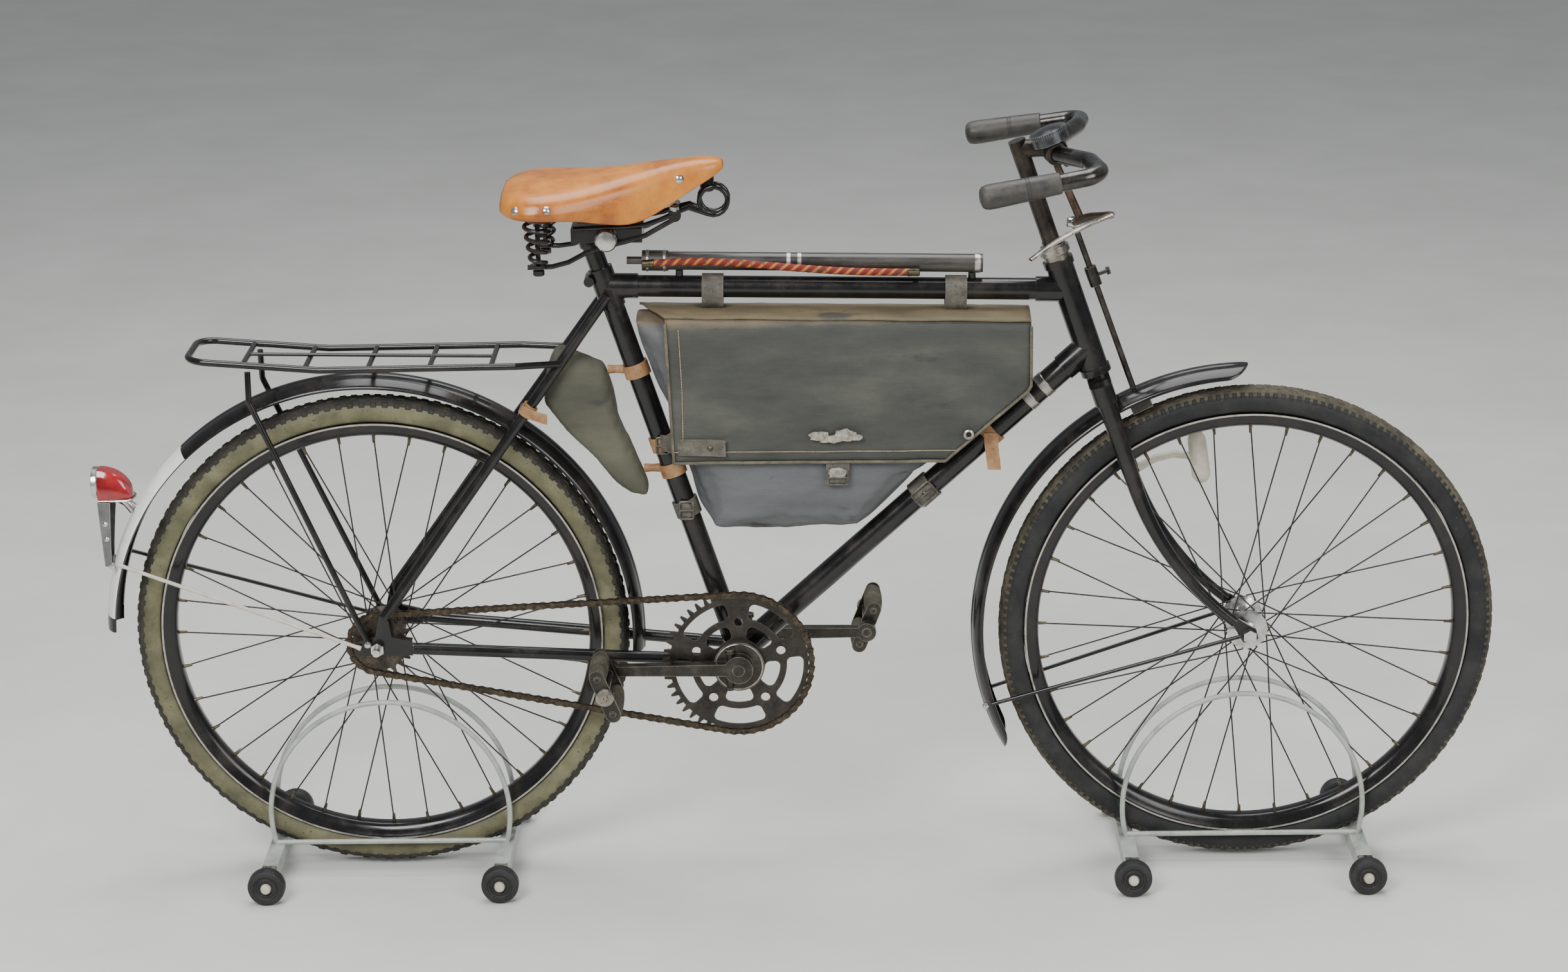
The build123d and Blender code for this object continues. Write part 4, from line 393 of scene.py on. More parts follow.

# Rims: rolled steel, enamelled black like the frame, with a thin band of bare steel on the lip along the tyre
# as a painted highlight line.
# The tyre's beads hook under the lips.
# Half of the rim's section: radius, distance from the wheel's middle plane
RIM_HALF = ((277.0, 0.0), (277.0, 6.5), (278.6, 9.6), (283.0, 12.9), (287.0, 14.4), (291.5, 16.2),
            (293.6, 17.5), (296.0, 17.5), (296.4, 16.0), (296.4, 8.0), (293.5, 0.0))
rim_outline = [(radius, -side) for radius, side in RIM_HALF[1:-1]]
rim_outline = [RIM_HALF[0]] + rim_outline + [RIM_HALF[-1]] + list(reversed(RIM_HALF[1:-1]))
# The bare steel band on the lip is a painted highlight: the bright line along the rim's edge by the tyre.
lip_highlight_edges = (6, len(rim_outline) - 7)
for wheel, wheel_x, *_ in WHEELS:
    ring_piece(wheel + "_rim_shell", rim_outline, wheel_x, lip_highlight_edges, [black_enamel, bare_steel],
               wheel + "_wheel", [wheel + "_rim"])

# Spokes and nipples: plain wire spokes gone dark, hooked into the hub's flanges and crossed on the way out.
# Each is screwed into a small brass nipple in the rim.
spoke_wire = surface("dark_spoke_wire",
                     [(0.018, 0.016, 0.014), (0.036, 0.032, 0.028), (0.070, 0.062, 0.052)], 120.0,
                     (0.3, 0.55), (0.1, 0.0003), metallic=0.6, worn=((0.060, 0.038, 0.022), 0.62))
nipple_brass = surface("dull_nipple_brass",
                       [(0.050, 0.042, 0.028), (0.10, 0.084, 0.052), (0.17, 0.14, 0.09)], 150.0, (0.3, 0.5),
                       (0.1, 0.0003), metallic=0.9)
nipple_shape = rod([(0.0, 0, 0), (-0.003, 0, 0), (-0.011, 0, 0), (-0.012, 0, 0)],
                   [0.0028, 0.0024, 0.0019, 0.0014], 8)
nipple_radius = 277.2
spokes_in_set = 9
for wheel, wheel_x, *_ in WHEELS:
    coat_nodes(spoke_wire, wheel + "_spokes")
    nipple_seats = []
    for number, (side, rim_y) in enumerate(((-1, 4.5), (-1, 1.5), (1, 4.5), (1, 1.5))):
        for step in range(spokes_in_set):
            turn = radians(10.0 * (number + 4 * step))
            nipple_seats.append((from_axle(wheel_x + nipple_radius * cos(turn), side * rim_y,
                                           nipple_radius * sin(turn)), (0.0, -turn, 0.0)))
    repeated(wheel + "_spoke_nipples", nipple_seats, nipple_shape, nipple_brass, wheel + "_wheel")

# Hubs and axles: the front hub is bright nickel, the rear freewheel hub is dark with old grease.
# Both run on axles with domed nuts outside the frame's plates.
bright_nickel = surface("bright_nickel", [(0.40, 0.39, 0.36), (0.58, 0.57, 0.54), (0.68, 0.67, 0.64)], 60.0,
                        (0.14, 0.34), (0.06, 0.0004), metallic=1.0, worn=((0.22, 0.17, 0.12), 0.67))
greasy_steel = surface("greasy_steel", [(0.026, 0.021, 0.016), (0.060, 0.050, 0.039), (0.14, 0.12, 0.095)],
                       55.0, (0.25, 0.6), (0.2, 0.0006), metallic=0.75, worn=((0.030, 0.022, 0.015), 0.58))
coat_nodes(bright_nickel, "front_hub", "front_axle", "rear_axle")
coat_nodes(greasy_steel, "rear_hub", "rear_sprocket")

# Chain: half-inch roller chain, rusty bronze. Figure-of-eight plates, rivets and rollers repeat
# round the chainring and the sprocket as one fixed loop.
chain_rust = surface("rusty_chain", [(0.022, 0.016, 0.011), (0.055, 0.040, 0.026), (0.115, 0.088, 0.056)],
                     160.0, (0.3, 0.6), (0.3, 0.0004), metallic=0.65, worn=((0.20, 0.165, 0.115), 0.66))
pitch = 12.7
ring_teeth = 48
cog_teeth = 20
link_count = 110
chain_y = -50.0
ring_radius = pitch / (2 * sin(pi / ring_teeth))
cog_radius = pitch / (2 * sin(pi / cog_teeth))
bracket_x = 478.117
bracket_z = -33.0
centres = sqrt(bracket_x**2 + bracket_z**2)
lean = atan2(ring_radius - cog_radius, sqrt(centres**2 - (ring_radius - cog_radius) ** 2))
tilt = atan2(bracket_z, bracket_x)
run_links = centres * cos(lean) / pitch
ring_links = ring_teeth * (pi + 2 * lean) / (2 * pi)
cog_links = cog_teeth * (pi - 2 * lean) / (2 * pi)
top_angle = pi / 2 + tilt + lean
low_angle = -pi / 2 + tilt - lean


def on_ring(turn):
    """Place on the chainring's pitch circle."""
    return Vector((bracket_x + ring_radius * cos(turn), 0, bracket_z + ring_radius * sin(turn)))


def on_cog(turn):
    """Place on the sprocket's pitch circle."""
    return Vector((cog_radius * cos(turn), 0, cog_radius * sin(turn)))


def chain_pin(step):
    """Place of a chain rivet, in millimetres from the rear axle, counted in links."""
    step = step % link_count
    if step < ring_links:
        return on_ring(top_angle - step * 2 * pi / ring_teeth)
    step -= ring_links
    if step < run_links:
        heading = tilt + pi - lean
        return on_ring(low_angle) + Vector((cos(heading), 0, sin(heading))) * step * pitch
    step -= run_links
    if step < cog_links:
        return on_cog(low_angle - step * 2 * pi / cog_teeth)
    step -= cog_links
    heading = tilt + lean
    return on_cog(top_angle) + Vector((cos(heading), 0, sin(heading))) * step * pitch


def prism(near_rim, far_rim, number=0):
    """Closed prism between two rims of as many corners."""
    count = len(near_rim)
    faces = [tuple(range(count)), tuple(count + index for index in reversed(range(count)))]
    faces += [(index, (index + 1) % count, count + (index + 1) % count, count + index)
              for index in range(count)]
    return near_rim + far_rim, faces, number


plate_lobe = 4.1
plate_waist = 3.0
half_plate = 0.55


def eight_plates(side_places):
    """Waisted chain plates, two lobes and a narrow middle, standing at these side places."""
    rim = []
    for lobe in (1, -1):
        for turn in range(-3, 4):
            angle = radians(turn * 33.0) + (0.0 if lobe > 0 else pi)
            rim.append((lobe * pitch / 2 + plate_lobe * cos(angle), plate_lobe * sin(angle)))
        rim.append((0.0, plate_waist * lobe))
    verts = []
    faces = []
    for side in side_places:
        rims = [[Vector((x, side + step, z)) / 1000.0 for x, z in rim] for step in (-half_plate, half_plate)]
        plate_verts, plate_faces, _ = prism(*rims)
        faces += [tuple(len(verts) + index for index in face) for face in plate_faces]
        verts += plate_verts
    return verts, faces


outer_seats = []
inner_seats = []
pin_seats = []
for link in range(link_count):
    start = chain_pin(link)
    end = chain_pin(link + 1)
    middle = from_axle((start.x + end.x) / 2, chain_y, (start.z + end.z) / 2)
    heading = (0.0, -atan2(end.z - start.z, end.x - start.x), 0.0)
    (outer_seats if link % 2 else inner_seats).append((middle, heading))
    pin_seats.append((from_axle(start.x, chain_y, start.z), heading))
repeated("chain_outer_plates", outer_seats, eight_plates((-3.5, 3.5)), chain_rust, "frame",
         ["chain"], spread=0.0)
repeated("chain_inner_plates", inner_seats, eight_plates((-2.35, 2.35)), chain_rust, "frame",
         spread=0.0)
# Rivet with its roller: side place and radius in metres
RIVET = ((-0.0047, 0.0012), (-0.0043, 0.0019), (-0.0018, 0.0019), (-0.00178, 0.0039), (0.00178, 0.0039),
         (0.0018, 0.0019), (0.0043, 0.0019), (0.0047, 0.0012))
rivet_shape = rod([(0, y, 0) for y, _ in RIVET], [radius for _, radius in RIVET], 10)
repeated("chain_rivets_and_rollers", pin_seats, rivet_shape, chain_rust, "frame", spread=0.0)

# Chainring and cranks: forged steel gone dark brown, with worn edges on the chainring, pale edges on the
# cranks painted as a highlight, and two nickelled rings on the boss.
# The right crank carries the chainring on its flange; cotters wedge both cranks on the spindle.
worn_nickel = surface("worn_nickel", [(0.16, 0.135, 0.10), (0.33, 0.30, 0.26), (0.48, 0.46, 0.42)], 34.0,
                      (0.2, 0.5), (0.12, 0.0006), metallic=0.9, worn=((0.10, 0.062, 0.034), 0.61),
                      edge=(0.68, 0.66, 0.62))
ring_steel = surface("chainring_steel",
                     [(0.014, 0.012, 0.011), (0.030, 0.026, 0.022), (0.060, 0.050, 0.041)], 38.0,
                     (0.25, 0.5), (0.15, 0.0005), metallic=0.5, worn=((0.060, 0.040, 0.025), 0.62),
                     edge=(0.17, 0.145, 0.11))
# The pale edge colour of this dark steel is a painted highlight along the edges of the cranks, and of the
# pedal plates, cotters and brake rod that share it.
crank_steel = surface("dark_crank_steel",
                      [(0.016, 0.014, 0.012), (0.034, 0.030, 0.025), (0.070, 0.061, 0.050)], 40.0,
                      (0.2, 0.45), (0.12, 0.0005), metallic=0.55, worn=((0.10, 0.078, 0.052), 0.66),
                      edge=(0.50, 0.45, 0.36))
coat_nodes(ring_steel, "chainring")
coat_nodes(crank_steel, "cranks", "crank_axle")
cotter_shapes = []
for side in (-1, 1):
    cotter_y = side * 70.0
    for low, high, radius in ((-26.0, 22.0, 4.2), (22.0, 28.0, 6.6), (-30.0, -26.0, 5.4)):
        cotter_shapes.append(rod([from_axle(bracket_x + side * 12.0, cotter_y, bracket_z + height)
                                  for height in (low, low + 0.6, high - 0.6, high)],
                                 [radius * 0.0009, radius * 0.001, radius * 0.001, radius * 0.0009], 12))
piece("crank_cotters", cotter_shapes, [crank_steel], "crank")


def circle(x, y, z, radius, half_steps):
    """Points once round an upright circle and a step over, in millimetres from the rear axle."""
    turns = [step * pi / half_steps for step in range(2 * half_steps + 2)]
    return [from_axle(x + radius * cos(turn), y, z + radius * sin(turn)) for turn in turns]


boss_rings = [rod(circle(bracket_x, y, bracket_z, reach, 24), 0.0013, 8)
              for y, reach in ((-62.4, 31.5), (-61.2, 25.0))]
piece("crank_boss_rings", boss_rings, [worn_nickel], "crank")

# Pedals: two ribbed rubber barrels on steel pins between stamped end plates, with a bright dust cap outside.
# Each turns on a spindle screwed into its crank's eye.
pedal_rubber = surface("olive_pedal_rubber",
                       [(0.036, 0.032, 0.021), (0.064, 0.056, 0.036), (0.105, 0.092, 0.060)], 45.0,
                       (0.6, 0.85), (0.35, 0.0008), worn=((0.035, 0.030, 0.022), 0.60))
pedal_tilt = radians(68.5)
crank_reach = 172.0
barrel_rows = 26
barrel_sides = 16
barrel_radius = 12.2
barrel_start = 86.2
barrel_length = 79.6
plate_thickness = 2.6
# Dust cap: side place, radius
DUST_CAP = ((168.6, 9.0), (169.2, 12.2), (171.5, 12.5), (174.0, 11.2), (175.4, 7.0), (175.6, 1.5))


def profiled(line, place_of, sides=14, number=0):
    """Rod of places along an axis and radii in millimetres."""
    return rod([place_of(place) for place, _ in line], [radius / 1000.0 for _, radius in line], sides, number)


for side, pedal_body in ((-1, "pedal_right"), (1, "pedal_left")):
    eye = Vector((bracket_x + side * crank_reach, 0.0, bracket_z))
    across = Vector((side * cos(pedal_tilt), 0.0, sin(pedal_tilt)))
    normal = Vector((-across.z, 0.0, across.x))
    shapes = [rod([from_axle(eye.x, side * y, eye.z) for y in (63.2, 83.0, 169.0)],
                  [0.0058, 0.0058, 0.0045], 14, 1)]
    for lobe in (-1, 1):
        middle = eye + across * lobe * 26.0
        verts = []
        for row in range(barrel_rows):
            y = barrel_start + barrel_length * row / (barrel_rows - 1)
            swell = 1.0 - 0.16 * (2.0 * row / (barrel_rows - 1) - 1.0) ** 2
            groove = 0.0 if row % 2 else 0.9
            end = 0.90 if row in (0, barrel_rows - 1) else 1.0
            for corner in range(barrel_sides):
                turn = 2 * pi * corner / barrel_sides
                reach = (barrel_radius * swell * end - groove) * (1.0 + 0.07 * abs(sin(2 * turn)))
                spot = middle + across * reach * cos(turn) + normal * reach * sin(turn)
                verts.append(from_axle(spot.x, side * y, spot.z))
        shapes.append((verts, skin_faces(barrel_rows, barrel_sides), 0))
        shapes.append(rod([from_axle(middle.x, side * y, middle.z) for y in (81.5, 82.3, 171.5, 172.3)],
                          [0.0036, 0.0042, 0.0042, 0.0036], 10, 1))
    for plate_y in (83.0, 166.0):
        rim = []
        for lobe in (1, -1):
            for turn in range(-4, 5):
                angle = radians(turn * 22.5) + (0.0 if lobe > 0 else pi)
                rim.append(eye + across * (lobe * 28.0 + 10.0 * cos(angle)) + normal * 10.0 * sin(angle))
        shapes.append(prism(*[[from_axle(spot.x, side * (plate_y + step), spot.z) for spot in rim]
                              for step in (0.0, plate_thickness)], 1))
    shapes.append(profiled(DUST_CAP, lambda y: from_axle(eye.x, side * y, eye.z), 24, 2))
    piece(pedal_body + "_treads", shapes, [pedal_rubber, crank_steel, worn_nickel], pedal_body,
          [pedal_body])

# Mudguards: rolled sheet steel with a wired edge and a raised middle bead, enamelled black.
# The rear one ends in a white painted tail with a black lip, the front one has rounded ends.
white_tail = surface("white_tail_paint", [(0.74, 0.73, 0.69), (0.83, 0.82, 0.80), (0.88, 0.88, 0.87)], 20.0,
                     (0.25, 0.5), (0.1, 0.0006), worn=((0.36, 0.31, 0.25), 0.72), coat=0.2)
# Half of the sheet's section: distance from its middle plane, drop from its crown
GUARD_HALF = ((0.0, 0.0), (3.2, 0.2), (4.6, -1.0), (10.0, -1.5), (16.0, -3.3), (22.0, -6.6), (26.6, -10.3),
              (28.6, -12.4), (28.8, -14.0), (27.4, -14.2))
guard_skin = [(-side, drop) for side, drop in reversed(GUARD_HALF[1:])] + list(GUARD_HALF)
guard_radius = 361.0
guard_wall = -1.4
guard_step = 0.8
end_round = 5.0
white_start = 133.5
white_end = 174.5
for guard, body, guard_x, first, last in (("rear_mudguard", "frame", -9.0, -4.0, 178.0),
                                          ("front_mudguard", "fork", 1150.0, 90.0, 209.0)):
    steps = int((last - first) / guard_step)
    count = len(guard_skin)
    verts = []
    faces = []
    numbers = []
    for step in range(steps + 1):
        turn = radians(first + (last - first) * step / steps)
        from_end = min(step, steps - step) * (last - first) / steps
        away = max(0.0, 1.0 - from_end / end_round) if guard == "front_mudguard" else 0.0
        narrow = sqrt(max(0.03, 1.0 - away**2))
        for wall in (0.0, guard_wall):
            for side, drop in guard_skin:
                reach = guard_radius + drop * narrow**2 + wall
                verts.append(from_axle(guard_x + reach * cos(turn), side * narrow * (1.0 + wall / 60.0),
                                       reach * sin(turn)))
    for step in range(steps):
        turn = first + (last - first) * (step + 0.5) / steps
        white = guard == "rear_mudguard" and white_start < turn < white_end
        for wall in (0, 1):
            for place in range(count - 1):
                base = (2 * step + wall) * count + place
                faces.append((base, base + 1, base + 2 * count + 1, base + 2 * count))
                numbers.append(1 if white and wall == 0 else 0)
        for place in (0, count - 1):
            base = 2 * step * count + place
            faces.append((base, base + count, base + 3 * count, base + 2 * count))
            numbers.append(1 if white else 0)
    for step in (0, steps):
        for place in range(count - 1):
            base = 2 * step * count + place
            faces.append((base, base + 1, base + count + 1, base + count))
            numbers.append(0)
    piece(guard + "_sheet", [(verts, faces, numbers)], [black_enamel, white_tail], body, [guard],
          60.0)

# Mudguard stays: plain steel wire from the guard's edge to the axle, screwed at the guard.
# The near rear one is painted cream, the others are black like the frame.
cream_wire = surface("cream_stay_paint", [(0.46, 0.42, 0.33), (0.58, 0.54, 0.44), (0.66, 0.62, 0.53)], 70.0,
                     (0.35, 0.6), (0.1, 0.0005), worn=((0.13, 0.09, 0.06), 0.66))
# Rear stay: forward place, side place, height, radius in metres
STAY_WIRE = ((-342.0, 31.6, 108.2, 0.0034), (-336.0, 32.6, 106.2, 0.0026), (-180.0, 51.0, 54.0, 0.0026),
             (-30.0, 68.8, 3.7, 0.0026), (-22.0, 69.8, 1.0, 0.0036))
stay_radii = [radius for *_, radius in STAY_WIRE]
stay_shapes = [rod([from_axle(x, side * y, z) for x, y, z, _ in STAY_WIRE], stay_radii, 12, number)
               for side, number in ((-1, 0), (1, 1))]
piece("rear_guard_stay_wires", stay_shapes, [cream_wire, black_enamel], "frame",
      ["rear_mudguard_stays"])
coat_nodes(black_enamel, "front_mudguard_stays")
screw_shape = rod([(0, 0, 0), (0, 0, 0.0022), (0, 0, 0.0036), (0, 0, 0.0042)],
                  [0.0048, 0.0048, 0.0036, 0.0012], 10)


def both_sides(x, y, z):
    """Seats at both sides of the bicycle, facing outward."""
    return [(from_axle(x, side * y, z), (side * radians(-90.0), 0.0, 0.0)) for side in (-1, 1)]


repeated("rear_guard_stay_screws", both_sides(-352.0, 30.0, 107.0), screw_shape, bright_nickel, "frame")
repeated("front_guard_stay_screws", both_sides(wheelbase - 348.0, 30.0, -105.0), screw_shape, bright_nickel,
         "fork")

# Rear lamp: a glossy red hood, domed like a quarter of an egg, clenched in a flat silver rim and standing
# on a foot on the mudguard.
lamp_glass = surface("red_lamp_glass", [(0.15, 0.004, 0.006), (0.27, 0.007, 0.010), (0.37, 0.014, 0.016)],
                     40.0, (0.06, 0.16), (0.04, 0.0005), coat=0.8)
lamp_x = -376.0
lamp_z = 214.0
hood_rows = 13
hood_sides = 28
hood_half = 20.0
hood_length = 45.0
hood_verts = []
for step in range(hood_rows):
    share = step / (hood_rows - 1)
    tall = max(-hood_half + 2 * hood_half * sqrt(max(1.0 - share**2, 0.0)), 1.0 - hood_half) + hood_half
    wide = hood_half * min(1.0, (tall / (2 * hood_half)) ** 0.45)
    for corner in range(hood_sides):
        turn = pi * corner / (hood_sides - 1)
        hood_verts.append(from_axle(lamp_x + 8.5 + hood_length * share, wide * cos(turn),
                                    lamp_z - hood_half + tall * min(1.0, 1.15 * sin(turn) ** 0.7)))
# Rim of the lamp: forward place, radius
LAMP_RIM = ((0.0, 17.0), (0.4, 20.4), (1.4, 21.5), (7.4, 21.5), (8.6, 20.4), (9.0, 16.0))
lamp_shapes = [(hood_verts, skin_faces(hood_rows, hood_sides), 0),
               profiled(LAMP_RIM, lambda x: from_axle(lamp_x + x, 0, lamp_z), 36, 1),
               rod([from_axle(lamp_x + 27.0, 0, lamp_z - 15.0), from_axle(-333.0, 0, 186.0),
                    from_axle(-324.0, 0, 176.0)], [0.009, 0.006, 0.0075], 16, 1)]
base_rim = [from_axle(lamp_x + 9.0 + hood_length * share, 20.4 * side, lamp_z - hood_half)
            for side, share in ((-1, 0.0), (-1, 0.86), (-0.6, 0.98), (0, 1.02), (0.6, 0.98), (1, 0.86),
                                (1, 0.0))]
lamp_shapes.append(rod(base_rim, 0.0014, 8, 1))
piece("rear_lamp_hood", lamp_shapes, [lamp_glass, bright_nickel], "frame", ["rear_lamp"])

# Blank plate: a tapered channel of grey painted sheet steel under the lamp's rim, with two bright rivets in
# each flange, standing on a foot on the mudguard.
# The pale edge colour of the grey paint is a painted highlight along the channel's flange edges.
plate_grey = surface("plate_grey_paint",
                     [(0.085, 0.085, 0.082), (0.130, 0.130, 0.125), (0.185, 0.185, 0.175)], 40.0,
                     (0.4, 0.65), (0.12, 0.0005), worn=((0.10, 0.075, 0.055), 0.66),
                     edge=(0.62, 0.60, 0.56))
# Rows down the sheet: forward place, height, half width, depth of its flanges
SHEET = ((-367.9, 192.0, 22.5, 17.0), (-367.6, 160.0, 17.5, 14.0), (-367.0, 128.0, 12.8, 11.0),
         (-366.4, 98.5, 9.0, 9.0))
sheet_wall = 1.6
sheet_corners = 8
sheet_verts = []
for x, z, half, deep in SHEET:
    inner = half - sheet_wall
    for y, step in ((-half, deep), (-half, 0.0), (half, 0.0), (half, deep), (inner, deep),
                    (inner, sheet_wall), (-inner, sheet_wall), (-inner, deep)):
        sheet_verts.append(from_axle(x + step, y, z))
sheet_faces = skin_faces(len(SHEET), sheet_corners)[:-2]
for base in (0, (len(SHEET) - 1) * sheet_corners):
    sheet_faces += [(base, base + 1, base + 6, base + 7), (base + 1, base + 2, base + 5, base + 6),
                    (base + 2, base + 3, base + 4, base + 5)]
sheet_foot = rod([from_axle(-366.0, 0.0, 107.0), from_axle(-360.0, 0.0, 106.5),
                  from_axle(-354.4, 0.0, 106.0)], [0.0058, 0.005, 0.0066], 14, 0)
piece("lamp_bracket_sheet", [(sheet_verts, sheet_faces, 0), sheet_foot], [plate_grey], "frame",
      ["number_plate"], 30.0)
rivet_dome = rod([(0, 0, 0), (0, 0, 0.0008), (0, 0, 0.0018), (0, 0, 0.0024)],
                 [0.0038, 0.0036, 0.0025, 0.0008], 12)
plate_seats = [both_sides(-360.0, y, z)[number] for number in (0, 1)
               for y, z in ((17.6, 161.0), (14.8, 139.0))]
repeated("plate_rivets", plate_seats, rivet_dome, bright_nickel, "frame")

# Rack: bent and brazed steel rod under black enamel.
# It stands on legs bolted to the dropouts and is clipped to the seat stays.
coat_nodes(black_enamel, "rack", "rack_legs")
repeated("rack_foot_bolts", both_sides(-12.0, 74.4, 8.0), screw_shape, bright_nickel, "frame")

# Saddle ironwork: black enamelled steel post, clamp and wire rails, with bright clamp bolts.
# The rails run from the springs to a ring under the nose; a bent wire and a cross bar carry the hide's back.
coat_nodes(black_enamel, "saddle_clamp", "seat_post")
post_head = Vector((295.29, 0.0, 529.69))


def on_post(x, y, z):
    """Point given in millimetres from the head of the seat post."""
    return from_axle(post_head.x + x, y, post_head.z + z)


bolt_shapes = []
for side in (-1, 1):
    bolt_shapes.append(rod([on_post(22.0, side * y, 14.0) for y in (29.5, 31.0, 40.0, 42.5, 43.5)],
                           [0.0135, 0.0145, 0.0145, 0.0125, 0.008], 28))
    bolt_shapes.append(rod([on_post(110.0, side * 17.0, 42.0 + step) for step in (5.0, 5.6, 11.0, 12.0)],
                           [0.0055, 0.0062, 0.0062, 0.005], 6))
piece("saddle_clamp_bolts", bolt_shapes, [bright_nickel], "frame")
wire_shapes = []
nose_ring = 18.4
ring_steps = 24
for side in (-1, 1):
    low_rail = [(-78, 60, -14.6), (-64, 60, -14.6), (-46, 57, -14.4), (-26, 51, -10.5), (-6, 43, -1.5),
                (16, 37, 5), (46, 32, 11), (72, 28, 18), (94, 22, 29), (112, 17.5, 38)]
    high_rail = [(-20, 40, 30.6), (0, 38.5, 31), (40, 34, 31.2), (72, 28, 32), (94, 22, 38),
                 (112, 17.5, 45.5), (128, 13, 50.5)]
    for step in range(ring_steps + 1):
        turn = radians(-112.0 + 21.0 * step)
        y = 11.0 - 3.6 * step / ring_steps
        high_rail.append((160 + nose_ring * cos(turn), y, 58.5 + nose_ring * sin(turn)))
    for rail in (low_rail, high_rail):
        wire_shapes.append(rod([on_post(x, side * y, z) for x, y, z in rail], 0.0033, 12))
wire_shapes.append(rod([on_post(110.0, y, 42.0) for y in (-22.0, -21.0, 21.0, 22.0)],
                       [0.0075, 0.0085, 0.0085, 0.0075], 16))
wire_shapes.append(rod([on_post(152.0, 0.0, z) for z in (70.0, 71.0, 98.0, 103.0)],
                       [0.008, 0.009, 0.009, 0.006], 18))
plate_line = [(-12, 70, 60), (-48, 86, 62), (-76, 83, 63), (-91, 66, 65), (-97, 38, 68), (-99, 0, 70)]
plate_line += [(x, -y, z) for x, y, z in reversed(plate_line[:-1])]
wire_shapes.append(rod([on_post(*spot) for spot in plate_line], 0.0034, 12))
wire_shapes.append(rod([on_post(-64.0, y, 61.5) for y in (-84.0, -60.0, 60.0, 84.0)], 0.0042, 12))
piece("saddle_wire_frame", wire_shapes, [black_enamel], "frame", ["saddle_frame"])

# Saddle springs: two coils of thick black enamelled wire, wider at the top.
# They stand on cups bolted to the rail ends and carry the hide's back wire.
spring_x = -64.0
spring_y = 60.0
coil_steps = 110
coil_turns = 4.6
# Cups and bolts of a spring: bottom, top, radius
SPRING_CUPS = ((-16.0, -10.5, 0.0115), (54.0, 59.0, 0.0175), (-25.0, -18.0, 0.0075), (-18.0, 56.0, 0.0032))
spring_shapes = []
for side in (-1, 1):
    coil = []
    for step in range(coil_steps + 1):
        turn = 2 * pi * coil_turns * step / coil_steps
        rise = -8.0 + 62.0 * step / coil_steps
        reach = 10.0 + 9.0 * step / coil_steps
        coil.append(on_post(spring_x + reach * cos(turn), side * (spring_y + reach * sin(turn)), rise))
    spring_shapes.append(rod(coil, 0.0029, 10))
    for low, high, radius in SPRING_CUPS:
        spring_shapes.append(rod([on_post(spring_x, side * spring_y, height)
                                  for height in (low, low + 0.8, high - 0.8, high)],
                                 [radius * 0.9, radius, radius, radius * 0.9], 18))
piece("saddle_coil_springs", spring_shapes, [black_enamel], "frame", ["saddle_springs"])

# Saddle hide: one piece of thick tan leather, moulded wet over a form and riveted at the nose and along its
# back wire. The skirt hangs free at the sides and its cut edge is burnished dark.
saddle_hide = surface("tan_saddle_hide", [(0.30, 0.082, 0.009), (0.50, 0.165, 0.015), (0.60, 0.235, 0.028)],
                      16.0, (0.26, 0.46), (0.35, 0.0007), worn=((0.30, 0.090, 0.012), 0.67), coat=0.15,
                      edge=(0.035, 0.016, 0.008), fine=22.0)
# Rows of the hide from the back: forward place, half width, heights of its edge, shoulder and crown
HIDE = ((-107.0, 58.0, 59.0, 64.0, 76.0), (-98.0, 80.0, 58.0, 65.0, 82.5), (-80.0, 95.0, 58.0, 66.5, 86.0),
        (-52.0, 98.0, 56.5, 67.5, 88.0), (-18.0, 84.0, 53.0, 68.5, 89.5), (15.0, 66.0, 44.5, 70.5, 93.0),
        (45.0, 50.0, 37.0, 74.5, 97.5), (70.0, 41.0, 41.5, 80.0, 101.5), (95.0, 32.0, 54.5, 87.0, 105.5),
        (130.0, 22.5, 75.5, 95.0, 109.8), (150.0, 18.0, 87.0, 99.5, 111.0), (163.0, 12.0, 96.0, 102.5, 109.5),
        (170.0, 5.5, 101.5, 103.5, 106.0))
hide_columns = 24
skirt_start = 0.68
hide_back = -107.0
hide_length = 276.0
hide_verts = []
for x, half, low, shoulder, crown in HIDE:
    for column in range(hide_columns + 1):
        share = 2.0 * column / hide_columns - 1.0
        reach = abs(share)
        if reach > skirt_start:
            down = (reach - skirt_start) / 0.32
            y = half * (1.0 + 0.03 * sin(pi * down))
            z = shoulder + (low - shoulder) * down
        else:
            y = half * sin(0.5 * pi * reach / skirt_start) ** 0.92
            z = crown - (crown - shoulder) * (1.0 - cos(0.5 * pi * reach / skirt_start)) ** 1.25
        forward_share = min(max((x - hide_back) / hide_length, 0.0), 1.0)
        dish = 2.2 * sin(pi * forward_share) * (1.0 - min(reach * 2.0, 1.0))
        wave = 1.3 * noise.noise(Vector((x, share * 60.0, 3.0)) / 34.0)
        hide_verts.append(on_post(x, y if share > 0 else -y, z - dish + wave))


def grid_faces(rows, columns):
    """Faces of an open sheet of so many squares."""
    wide = columns + 1
    starts = [row * wide + column for row in range(rows) for column in range(columns)]
    return [(start, start + 1, start + wide + 1, start + wide) for start in starts]


def thicken(made, thickness):
    """Gives a sheet its thickness, inward from its skin."""
    solid = made.modifiers.new("thickness", "SOLIDIFY")
    solid.thickness = thickness
    solid.offset = -1.0


